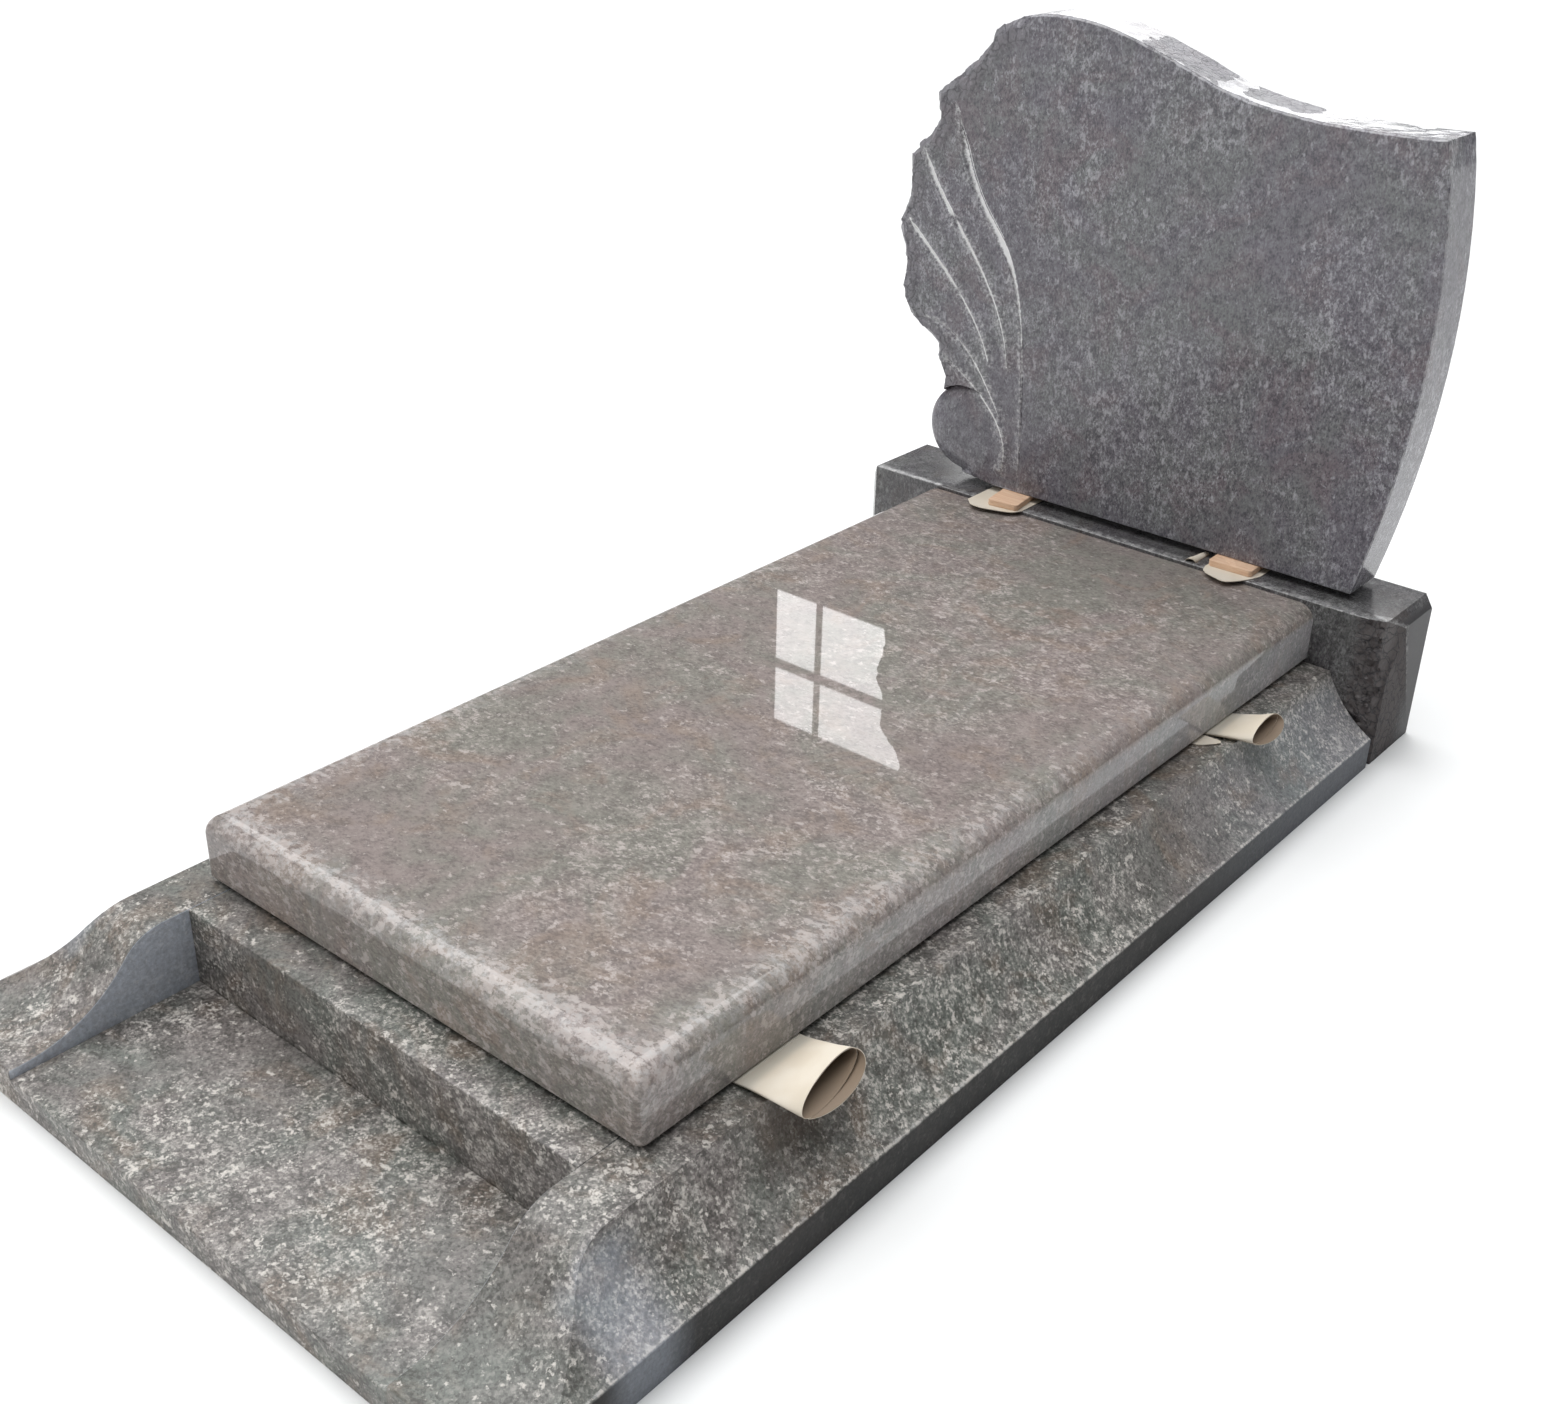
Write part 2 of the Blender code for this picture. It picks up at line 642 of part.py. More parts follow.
def scrap_mesh(finish):
    """Narrow scrap of card that arches up off the plinth."""
    rings = []
    for step in range(SCRAP_STEPS + 1):
        share = step / SCRAP_STEPS
        arch = SCRAP_ARCH_SHARE * HEADSTONE_BED * math.sin(math.pi * share)
        spread = math.sin(math.pi * clamp(SCRAP_SPREAD_START + share))
        width = SCRAP_HALF_WIDTH * mix(SCRAP_END_SHARE, 1.0, spread)
        middle = SCRAP_SLANT * share
        low = JOINT + arch
        high = low + CARD_THICKNESS
        corners = ((middle - width, low), (middle + width, low),
                   (middle + width, high), (middle - width, high))
        rings.append([(x, SCRAP_LENGTH * share, z) for x, z in corners])
    return loft("headstone_card_scrap", rings, finish)


def superellipse(half_width, half_height, power, angle):
    across = math.copysign(abs(math.cos(angle)) ** (2 / power), math.cos(angle))
    up = math.copysign(abs(math.sin(angle)) ** (2 / power), math.sin(angle))
    return half_width * across, half_height * up


def roll_ring(roll, x, share, wall):
    """Cross section of a roll, from pressed flat at share 0 to open at share 1."""
    swell = share ** ROLL_SWELL
    pressed = 2 * ROLL_WALL + ROLL_PRESSED_GAP
    half_width = mix(roll.root_width, roll.end_width, share) / 2 - wall
    half_height = mix(pressed, roll.end_height, swell) / 2 - wall
    power = mix(ROLL_PRESSED_POWER, ROLL_OPEN_POWER, clamp(ROLL_ROUNDING * share))
    turn = math.radians(roll.tilt) * swell
    centre_y = roll.drift * share
    centre_z = JOINT + pressed / 2 + roll.rise * share
    ring = []
    for side in range(ROLL_SIDES):
        angle = 2 * math.pi * side / ROLL_SIDES
        y, z = superellipse(half_width, half_height, power, angle)
        ring.append((
            x - roll.slant * share * math.sin(angle),
            centre_y + y * math.cos(turn) - z * math.sin(turn),
            centre_z + y * math.sin(turn) + z * math.cos(turn),
        ))
    return ring


def roll_mesh(name, roll, finish):
    """Card roll, pressed flat under the slab and open where it comes out at +X.

    Its own origin is on the kerb, below the slab's side.
    """
    stations = [(-ROLL_INSET, 0.0), (ROLL_KERB_REACH, 0.0)]
    stations += [(roll.reach * step / ROLL_STEPS, step / ROLL_STEPS)
                 for step in range(1, ROLL_STEPS + 1)]
    outer = [roll_ring(roll, x, share, 0.0) for x, share in stations]
    inner = [roll_ring(roll, x, share, ROLL_WALL) for x, share in reversed(stations)]
    rings = outer + inner
    vertices = [point for ring in rings for point in ring]
    faces = skin_faces(len(rings), ROLL_SIDES, closed=True)
    return mesh_from(name, vertices, faces, finish)


def build_kerb_frame(honed):
    add_kerb("kerb_left", -1, honed)
    add_kerb("kerb_right", 1, honed)
    inner = KERB_INNER_X - JOINT
    riser_back = RISER_FRONT_Y + RISER_DEPTH
    add_object("foot_riser", block_between(
        "foot_riser", (-inner, RISER_FRONT_Y, 0.0), (inner, riser_back, KERB_HEIGHT), honed))
    add_object("foot_apron", block_between(
        "foot_apron", (-inner, FOOT_Y, 0.0),
        (inner, RISER_FRONT_Y - JOINT, APRON_THICKNESS), honed))


def build_headstone(dark):
    add_object("plinth", plinth_mesh(dark), (0.0, PLINTH_FRONT_Y, 0.0))
    place = (HEADSTONE_X, HEADSTONE_FRONT_Y, HEADSTONE_BOTTOM_Z)
    add_object("headstone", headstone_mesh(dark), place)


def build_headstone_packing(wood, card):
    """Block, card sheet and scrap, placed from the headstone's front bottom edge."""
    for side, block, x, cut in (("right", RIGHT_BLOCK, RIGHT_BLOCK_X, RIGHT_CARD_CUT),
                                ("left", LEFT_BLOCK, LEFT_BLOCK_X, LEFT_CARD_CUT)):
        front = [(across, -shown) for across, shown in cut]
        outline = [(front[0][0], CARD_BEARING), *front, (front[-1][0], CARD_BEARING)]
        place = (x, HEADSTONE_FRONT_Y, PLINTH_HEIGHT)
        sheet = sheet_mesh("headstone_card_" + side, outline, card)
        add_object("headstone_card_" + side, sheet, place)
        body = block_mesh("headstone_block_" + side, block, wood)
        add_object("headstone_block_" + side, body, place, block.turn)
    scrap_place = (RIGHT_BLOCK_X - SCRAP_OFFSET, HEADSTONE_FRONT_Y - SCRAP_SHOWN, PLINTH_HEIGHT)
    add_object("headstone_card_scrap", scrap_mesh(card), scrap_place)


def build_slab_packing(card):
    """Two rolls on each side of the slab: the left ones are shorter, and turned by half."""
    foot_y = SLAB_FOOT_Y + FOOT_ROLL_PLACE
    head_y = PLINTH_FRONT_Y - HEAD_ROLL_PLACE
    rolls = (("right_foot", FOOT_ROLL, SLAB_HALF_WIDTH, foot_y, 0.0),
             ("right_head", HEAD_ROLL, SLAB_HALF_WIDTH, head_y, 0.0),
             ("left_foot", LEFT_FOOT_ROLL, -SLAB_HALF_WIDTH, foot_y, 180.0),
             ("left_head", LEFT_HEAD_ROLL, -SLAB_HALF_WIDTH, head_y, 180.0))
    for side, roll, x, y, turn in rolls:
        name = "slab_roll_" + side
        add_object(name, roll_mesh(name, roll, card), (x, y, KERB_HEIGHT), turn)
    add_object("slab_card_flap", sheet_mesh("slab_card_flap", FLAP_OUTLINE, card),
               (SLAB_HALF_WIDTH, head_y - FLAP_OFFSET, KERB_HEIGHT))


def build_monument():
    polished = material("polished_granite", (0.17, 0.15, 0.145), 0.22)
    dark = material("dark_granite", (0.10, 0.10, 0.105), 0.30)
    honed = material("honed_granite", (0.13, 0.13, 0.125), 0.50)
    wood = material("pine_block", (0.62, 0.36, 0.20), 0.65)
    card = material("cream_card", (0.74, 0.68, 0.57), 0.60)
    build_kerb_frame(honed)
    add_object("ledger_slab", slab_mesh(polished))
    build_headstone(dark)
    build_headstone_packing(wood, card)
    build_slab_packing(card)


clear_scene()
build_monument()
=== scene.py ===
"""Looks of the granite grave monument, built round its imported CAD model.

Metres, +Z up. X runs across the monument and Y from its foot to its head.
The origin is on the ground, at the centre of the monument's footprint.
"""

import math
import random
from collections import namedtuple

import bpy
import numpy as np
from mathutils import Matrix, Vector, noise
from mathutils.geometry import delaunay_2d_cdt


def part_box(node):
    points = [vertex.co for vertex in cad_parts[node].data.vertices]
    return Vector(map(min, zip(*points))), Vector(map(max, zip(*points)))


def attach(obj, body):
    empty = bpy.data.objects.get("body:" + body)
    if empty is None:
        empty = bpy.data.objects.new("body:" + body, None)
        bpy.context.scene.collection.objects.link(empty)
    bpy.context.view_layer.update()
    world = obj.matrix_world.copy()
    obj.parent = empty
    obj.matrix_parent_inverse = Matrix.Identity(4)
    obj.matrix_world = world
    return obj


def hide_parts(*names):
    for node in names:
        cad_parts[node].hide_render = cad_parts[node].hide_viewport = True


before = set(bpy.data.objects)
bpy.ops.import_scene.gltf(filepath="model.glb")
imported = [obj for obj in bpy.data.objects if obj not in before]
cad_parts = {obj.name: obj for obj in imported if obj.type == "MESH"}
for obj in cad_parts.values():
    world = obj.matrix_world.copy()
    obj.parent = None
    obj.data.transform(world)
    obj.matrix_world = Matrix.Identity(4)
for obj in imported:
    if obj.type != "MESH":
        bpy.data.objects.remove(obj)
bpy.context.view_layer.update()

Ray = namedtuple("Ray", "controls half_width depth white_at whites")
Rim = namedtuple("Rim", "spot inward rough bevel fall back_bevel hollows")
Roll = namedtuple("Roll", "root_width end_width end_height tilt reach rise drift slant")
Stone = namedtuple("Stone", "body tint warm dark light grain stretch turn dark_share light_share "
                            "fleck_share sawn sawn_share raw raw_share roughness relief")

# Camera: its place in metres, its turn in degrees, and its frame in pixels
CAMERA_PLACE = (1.3685, -1.6846, 1.4267)
CAMERA_AZIMUTH = 39.718
CAMERA_ELEVATION = 28.219
CAMERA_ROLL = 0.0247  # radians
FOCAL_PIXELS = 1817.3
FRAME_WIDTH = 1544
SENSOR_WIDTH = 36.0

# Studio: pale floor, soft light from above, and a window behind the headstone
FLOOR_SIZE = 60.0
FLOOR_DROP = 0.0005
FLOOR_COLOUR = (0.86, 0.86, 0.85)
WORLD_COLOUR = (0.93, 0.96, 1.0)
WORLD_ZENITH = 0.78
WORLD_RISE = (0.45, 0.90)
WORLD_HORIZON = (0.03, 0.20)
WORLD_BRIGHT_SIDE = (-0.70, 0.70, 0.0)
SOFT_SUNS = (
    ("top_light", (-0.28, 0.05, 1.0), 2.35, 70.0),
    ("left_light", (-0.55, -0.80, 0.50), 0.62, 60.0),
)
WINDOW_Y = 3.0
WINDOW_COLUMNS = ((-2.51, -2.325), (-2.295, -1.70))
WINDOW_ROWS = ((1.845, 2.125), (2.165, 2.385))
WINDOW_RADIANCE = 4.2
WALL_PANELS = (((-1.80, -0.80), (1.15, 2.45)), ((-0.80, 0.60), (1.31, 2.45)))
WALL_RADIANCE = 3.0

# Joints and arrises, as in the CAD model
JOINT = 0.0003
ARRIS = 0.002
ARRIS_STEPS = 3

# Side kerbs and the ogee at their feet
KERB_TOP_WIDTH = 0.077
KERB_LIP_HEIGHT = 0.052
COVE_SAG = 0.010
COVE_STEPS = 26
COVE_SAMPLES = 240
COVE_LAST = 0.94
OGEE_FOOT_HEIGHT = 0.047
OGEE_FOOT_FLAT = 0.015
OGEE_RUN = 0.205
OGEE_HOLLOW_SHARE = 0.71
OGEE_STEPS = 54
KERB_BODY_STEPS = 90
# Painted sky reflection on the kerb: its inner wall, a patch of the cove near the foot, and a lighter
# patch towards the head
COVE_REFLECTION_ALONG = (0.12, 0.17, 0.20, 0.26)
COVE_REFLECTION_ACROSS = (0.075, 0.090)
WALL_REFLECTION_SHARE = 1.0
COVE_REFLECTION_SHARE = 0.38
COVE_HEAD_ALONG = (1.15, 1.75)
COVE_HEAD_SHARE = 0.23
# Painted shade on the cove below the roll at the foot end: its place and reach, across and along
PAINTED_SHADE_PLACE = (0.085, 0.485)
PAINTED_SHADE_REACH = (0.040, 0.090)

# Ledger slab
SLAB_EDGE_RADIUS = 0.028
SLAB_EDGE_STEPS = 16
SLAB_CORNER_RADIUS = 0.010
SLAB_CORNER_STEPS = 10
# Painted highlight on the top of the slab: how far in from the round edge it reaches, and how strong it
# is there
SLAB_TOP_HIGHLIGHT = ((0.012, 0.45), (0.035, 0.0))
# Painted sky reflection on the slab's long sides
SLAB_SIDE_REFLECTION = 0.33

# Plinth
PLINTH_END_CHAMFER = 0.014
PLINTH_END_CHAMFER_DROP = 0.020
PLINTH_ROWS = 90
PLINTH_PITCH_START = 0.410
PLINTH_PITCH_STEP = 0.0025
PLINTH_PITCH_DEPTH = 0.010
PLINTH_CHIP_DEPTH = 0.0028
PLINTH_CORNER_REACH = 0.020
PLINTH_CORNER = ((0.0, 0.0), (0.150, 0.0), (0.175, 0.018), (0.210, 0.036), (0.246, 0.046))

# Headstone
HEADSTONE_WIDTH = 0.959
HEADSTONE_HEIGHT = 0.787
HEADSTONE_THICKNESS = 0.095
SMOOTH_STEPS = 16
PITCH_SPACING = 0.024
PITCH_JOG = 0.0025
PITCH_BEVEL = 0.013
PITCH_HOLLOW = 0.007
TOP_PITCH_SHARE = 0.15
FRONT_BEVEL_RANGE = (0.6, 1.1)
FRONT_FALL_RANGE = (0.6, 1.4)
BACK_BEVEL_RANGE = (0.4, 0.9)
HOLLOW_DEPTHS = (0.42, 0.70)
BOSS_RADIUS = 0.0765
BOSS_DROP = 0.017
BOSS_STEP = 0.002
BOSS_FLAT_SHARE = 0.35
BOSS_EDGE_STEPS = 14
BOSS_NOTCH_ANGLE = 128
BOSS_FOOT_ANGLE = 258
BOSS_FALL_START = 62
BOSS_FALL_END = 292
BOSS_FALL_FADE = 30

# Headstone lines, as shares of its own width and height.
# X is 0 at the middle of its width, Z is 0 at its underside.
TOP_CREST = ((0.100, 0.908), (-0.012, 0.957), (-0.152, 1.033), (-0.277, 0.986))
TOP_SADDLE = ((0.469, 0.877), (0.346, 0.872), (0.225, 0.866), (0.100, 0.908))
RIGHT_EDGE = ((0.447, 0.000), (0.503, 0.287), (0.521, 0.587), (0.469, 0.877))
PITCHED_EDGE = (
    (-0.313, 0.971), (-0.332, 0.951), (-0.338, 0.928), (-0.354, 0.904), (-0.380, 0.871),
    (-0.412, 0.847), (-0.429, 0.830), (-0.435, 0.815), (-0.429, 0.788), (-0.431, 0.765),
    (-0.449, 0.731), (-0.477, 0.699), (-0.487, 0.683), (-0.487, 0.649), (-0.482, 0.597),
    (-0.494, 0.569), (-0.500, 0.544), (-0.498, 0.518), (-0.490, 0.480), (-0.486, 0.435),
    (-0.488, 0.394), (-0.476, 0.349), (-0.438, 0.309), (-0.402, 0.282), (-0.401, 0.262),
)
BOSS_CENTRE = (-0.326, 0.109)
BOTTOM_LEFT = (-0.250, 0.000)

# Carved rays, each along a smooth curve of four control points
RAYS = (
    Ray(((-0.381, 0.794), (-0.303, 0.429), (-0.217, 0.698), (-0.198, 0.053)), 0.0085, 0.0060,
        (0.0, 0.10, 0.25, 0.42, 0.53, 0.60, 0.80, 0.90, 1.0),
        (0.50, 0.66, 0.68, 0.74, 1.10, 0.74, 0.60, 0.42, 0.36)),
    Ray(((-0.448, 0.705), (-0.399, 0.558), (-0.265, 0.468), (-0.243, 0.276)), 0.0055, 0.0045,
        (0.0, 0.05, 0.26, 0.30, 0.34, 0.38, 1.0), (0.50, 0.82, 0.82, 1.10, 0.40, 0.74, 0.66)),
    Ray(((-0.470, 0.546), (-0.413, 0.473), (-0.321, 0.397), (-0.283, 0.278)), 0.0055, 0.0045,
        (0.0, 0.05, 0.12, 0.50, 0.56, 0.62, 0.92, 1.0),
        (1.00, 1.10, 0.78, 0.72, 0.38, 0.68, 0.66, 1.00)),
    Ray(((-0.418, 0.344), (-0.330, 0.326), (-0.283, 0.221), (-0.250, 0.160)), 0.0045, 0.0035,
        (0.0, 0.40, 0.70, 1.0), (0.42, 0.50, 0.66, 0.60)),
    Ray(((-0.378, 0.262), (-0.330, 0.235), (-0.205, 0.135), (-0.240, 0.040)), 0.0045, 0.0035,
        (0.0, 0.35, 0.55, 0.75, 1.0), (0.40, 0.50, 0.68, 0.60, 0.42)),
)
SECOND_LINE = (0.46, 0.95, 0.16, 0.66)
RAY_STEPS = 90
RAY_TIP_SHARE = 0.08
RAY_TAIL_SHARE = 0.55
RAY_TAIL_WIDTH = 0.25
RAY_BANDS = (-1.0, -0.5, 0.0, 0.5, 0.8, 0.95, 1.1)
CARVING_MARGIN = 0.0020

# Fine form of the headstone: how close its points lie, and how far its relief goes
ROUGH_STEP = 0.004
SMOOTH_STEP = 0.012
SIDE_STEPS = (2, 10, 7, 6, 3)
FINE_GRID = 0.0042
COARSE_GRID = 0.024
FAN_REACH = 0.040
FLUTE_DEPTH = 0.0045
FAN_GRAIN = 0.40
FAN_GRAIN_REACH = 0.055
FLUTE_REACH = 0.100
CHIP_SIZES = ((0.026, 0.0030), (0.009, 0.0013))
EDGE_RAW_REACH = 0.034
TOP_PATCHES = ((-0.050, 0.085, 0.0), (0.115, 0.230, 0.02))

# Seeds of the pitched edge: its jogs, its bevels and its facets
JOG_SEED = 11
BEVEL_SEED = 23
FACET_SEED = 5

# Packing of card and wood
CARD_THICKNESS = 0.0012
CARD_BEARING = 0.036
CARD_LIFT = 0.0045
CARD_FREE = 0.045
SHEET_GRID = 0.004
BLOCK_BEARING = 0.030
BLOCK_CORNER = 0.004
BLOCK_STEP = 0.0022
BLOCK_WEAR = 0.0005
BLOCK_ROUGHNESS = 0.0005
BLOCKS = {"right": (0.075, 0.028, 2.0), "left": (0.056, 0.056, 8.0)}
CARD_CUTS = {
    "right": ((-0.0385, 0.033), (-0.0315, 0.056), (0.0125, 0.076),
              (0.0265, 0.060), (0.0405, 0.030), (0.0475, 0.012)),
    "left": ((-0.060, 0.059), (-0.042, 0.079), (-0.019, 0.080), (0.031, 0.061), (0.040, 0.043)),
}
SCRAP_HALF_WIDTH = 0.0085
SCRAP_ARCH = 0.0085
SCRAP_STEPS = 20
FLAP_OUTLINE = ((-0.026, -0.010), (-0.003, -0.040), (0.036, 0.001), (-0.026, 0.001))
FLAP_LIFT = 0.0025
ROLL_PRESSED_GAP = 0.0016
ROLL_WALL = 0.0024
ROLL_INSET = 0.040
ROLL_SHEET = 0.00105
ROLL_TURNS = 1.72
ROLL_LIP = 0.014
ROLL_SHADE = (0.16, 0.34)
ROLL_START = 205.0
ROLL_SAMPLES = 104
ROLL_STEPS = 22
ROLL_SWELL = 1.7
ROLL_PRESSED_POWER = 5.0
ROLL_OPEN_POWER = 2.0
ROLL_ROUNDING = 1.6
FOOT_ROLL = Roll(root_width=0.112, end_width=0.098, end_height=0.027, tilt=24.0,
                 reach=0.090, rise=0.021, drift=-0.006, slant=0.008)
HEAD_ROLL = Roll(root_width=0.084, end_width=0.078, end_height=0.028, tilt=10.0,
                 reach=0.066, rise=0.014, drift=0.008, slant=0.003)
LEFT_FOOT_ROLL = Roll(root_width=0.112, end_width=0.106, end_height=0.024, tilt=5.0,
                      reach=0.040, rise=0.014, drift=0.0, slant=0.003)
LEFT_HEAD_ROLL = Roll(root_width=0.084, end_width=0.080, end_height=0.022, tilt=5.0,
                      reach=0.036, rise=0.013, drift=0.0, slant=0.003)
FOOT_ROLL_PLACE = 0.200
HEAD_ROLL_PLACE = 0.282

# Granite in its finishes: colours, size of the grain, and how strong each part is. SHADED is the
# headstone's granite made darker, as painted shade on the plinth.
POLISHED = Stone(body=(0.266, 0.222, 0.206), tint=(0.228, 0.218, 0.188), warm=(0.272, 0.214, 0.178),
                 dark=(0.120, 0.103, 0.098), light=(0.54, 0.48, 0.45), grain=330.0,
                 stretch=(0.7, 1.0, 1.0), turn=40.0, dark_share=0.58, light_share=0.36,
                 fleck_share=0.62, sawn=(0.03, 0.03, 0.03), sawn_share=0.0,
                 raw=(0.34, 0.32, 0.31), raw_share=0.4, roughness=0.018, relief=0.0)
DARK = Stone(body=(0.164, 0.154, 0.178), tint=(0.172, 0.175, 0.180), warm=(0.174, 0.145, 0.160),
             dark=(0.056, 0.053, 0.064), light=(0.54, 0.54, 0.57), grain=470.0,
             stretch=(1.0, 1.0, 0.6), turn=0.0, dark_share=0.72, light_share=0.42,
             fleck_share=0.46, sawn=(0.05, 0.048, 0.05), sawn_share=0.80,
             raw=(0.34, 0.33, 0.34), raw_share=0.42, roughness=0.15, relief=0.05)
# Painted shade: the headstone's granite made darker for the plinth
SHADED = DARK._replace(body=(0.098, 0.092, 0.096), tint=(0.110, 0.109, 0.106),
                       warm=(0.094, 0.080, 0.074), dark=(0.035, 0.032, 0.036),
                       light=(0.30, 0.30, 0.30), sawn=(0.028, 0.026, 0.028), sawn_share=0.9,
                       raw=(0.080, 0.058, 0.050), raw_share=0.80)
# Kerb granite, whose sawn outer face is painted near black as painted shade
HONED = Stone(body=(0.176, 0.157, 0.148), tint=(0.142, 0.152, 0.134), warm=(0.168, 0.128, 0.098),
              dark=(0.055, 0.051, 0.045), light=(0.64, 0.60, 0.55), grain=330.0,
              stretch=(1.0, 1.0, 1.0), turn=0.0, dark_share=0.85, light_share=0.50,
              fleck_share=0.80, sawn=(0.014, 0.013, 0.013), sawn_share=0.92,
              raw=(0.34, 0.32, 0.31), raw_share=0.4, roughness=0.38, relief=0.25)
# Colour of the painted sky reflection
PAINTED_REFLECTION_COLOUR = (0.68, 0.74, 0.84)
# Colour of the painted highlights along the arrises
PAINTED_ARRIS_HIGHLIGHT = (0.44, 0.43, 0.42)
# Colour of the painted shade below the roll
PAINTED_SHADE_COLOUR = (0.060, 0.046, 0.038)
CUT_COLOUR = (0.93, 0.93, 0.93)


def mix(low, high, share):
    return low + (high - low) * share


def clamp(value):
    return max(0.0, min(1.0, value))


def smooth(value, low, high):
    share = clamp((value - low) / (high - low))
    return share * share * (3.0 - 2.0 * share)


def bezier(controls, share):
    rest = 1.0 - share
    weights = (rest ** 3, 3 * share * rest ** 2, 3 * share ** 2 * rest, share ** 3)
    across = sum(weight * point[0] for weight, point in zip(weights, controls))
    up = sum(weight * point[1] for weight, point in zip(weights, controls))
    return across, up


def spaced(start, end, count):
    """Evenly spaced values from start to end, both of them included."""
    return [mix(start, end, step / count) for step in range(count + 1)]


# Meshes and pieces

def finish_mesh(name, vertices, faces, sharp_angle=38.0):
    """Mesh that is shaded smooth, apart from sharp edges and its many-sided flat ends."""
    mesh = bpy.data.meshes.new(name)
    mesh.from_pydata([tuple(vertex) for vertex in vertices], [], faces)
    mesh.validate()
    mesh.update()
    for face in mesh.polygons:
        face.use_smooth = len(face.vertices) <= 4
    mesh.set_sharp_from_angle(angle=math.radians(sharp_angle))
    return mesh


def add_values(mesh, name, values):
    """Number at every point that the materials read."""
    layer = mesh.attributes.new(name, "FLOAT", "POINT")
    layer.data.foreach_set("value", [float(value) for value in values])


def add_object(name, data):
    item = bpy.data.objects.new(name, data)
    bpy.context.scene.collection.objects.link(item)
    return item


def add_piece(name, mesh, node, finish):
    """Piece of the monument that stands in for a node of the CAD model."""
    mesh.materials.append(finish)
    piece = add_object(name, mesh)
    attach(piece, "root")
    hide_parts(node)


def skin_faces(levels, count):
    """Quads between closed rings of count points that follow each other in one list."""
    faces = []
    for level in range(levels - 1):
        low = level * count
        high = low + count
        for index in range(count):
            following = (index + 1) % count
            faces.append((low + index, low + following, high + following, high + index))
    return faces


def loft(name, rings, sharp_angle=38.0):
    """Skin over rings with the same number of points, with flat ends."""
    count = len(rings[0])
    vertices = [point for ring in rings for point in ring]
    faces = skin_faces(len(rings), count)
    faces.append(tuple(reversed(range(count))))
    faces.append(tuple(range(len(vertices) - count, len(vertices))))
    return finish_mesh(name, vertices, faces, sharp_angle)


# Stones with straight sides

def arc_between(start, end, sag, steps):
    """Circular arc from start to end that bulges by sag to the right of its chord."""
    chord = Vector(end) - Vector(start)
    half = chord.length / 2
    radius = (half * half + sag * sag) / (2 * sag)
    middle = (Vector(start) + Vector(end)) / 2
    side = Vector((chord.y, -chord.x)).normalized()
    centre = middle - side * (radius - sag)
    sweep = math.asin(half / radius)
    points = []
    for angle in spaced(-sweep, sweep, steps):
        along = chord.normalized() * math.sin(angle) * radius
        points.append(centre + along + side * math.cos(angle) * radius)
    return points


def quarter(centre, radius, start, steps):
    """Quarter circle anticlockwise round a centre, from a start angle in degrees."""
    angles = [math.radians(start + 90.0 * step / steps) for step in range(steps + 1)]
    return [(centre[0] + radius * math.cos(angle), centre[1] + radius * math.sin(angle))
            for angle in angles]


def ogee_height(along, kerb_height):
    """Height of the ogee at a distance from its low end, up to the kerb's own height."""
    half_angle = math.atan2(kerb_height - OGEE_FOOT_HEIGHT, OGEE_RUN)
    radii = OGEE_RUN / math.sin(2 * half_angle)
    hollow = radii * OGEE_HOLLOW_SHARE
    crown = radii - hollow
    if along <= hollow * math.sin(2 * half_angle):
        return OGEE_FOOT_HEIGHT + hollow - math.sqrt(hollow ** 2 - along ** 2)
    return kerb_height - crown + math.sqrt(crown ** 2 - (OGEE_RUN - along) ** 2)


def kerb_ring(inner, outer, cove, height):
    """Section of a kerb that is cut off at a height, as (distance across, height)."""
    crease = next((index for index, spot in enumerate(cove) if spot.y < height), len(cove))
    crease = min(crease, round(COVE_LAST * COVE_SAMPLES))
    top_arris = quarter((inner + ARRIS, height - ARRIS), ARRIS, 90.0, ARRIS_STEPS)
    ring = [(inner, 0.0), (inner, height / 2), *reversed(top_arris)]
    start = cove[crease].x
    ring += [(x, height) for x in spaced(inner + ARRIS, start, 6)[1:-1]]
    for mark in spaced(crease, COVE_SAMPLES, COVE_STEPS):
        spot = cove[round(mark)]
        ring.append((spot.x, min(spot.y, height)))
    level = min(KERB_LIP_HEIGHT, height)
    ring += [(outer, level - ARRIS), (outer, level / 2), (outer, 0.0)]
    return ring


def kerb_stations(foot, head, kerb_height):
    """Places along a kerb with its height there: chamfer, ogee and straight body."""
    low = foot + OGEE_FOOT_FLAT
    stations = [(foot, OGEE_FOOT_HEIGHT - ARRIS), (foot + ARRIS, OGEE_FOOT_HEIGHT)]
    for along in spaced(0.0, OGEE_RUN, OGEE_STEPS):
        stations.append((low + along, ogee_height(along, kerb_height)))
    stations += [(y, kerb_height) for y in spaced(low + OGEE_RUN, head, KERB_BODY_STEPS)[1:]]
    return stations


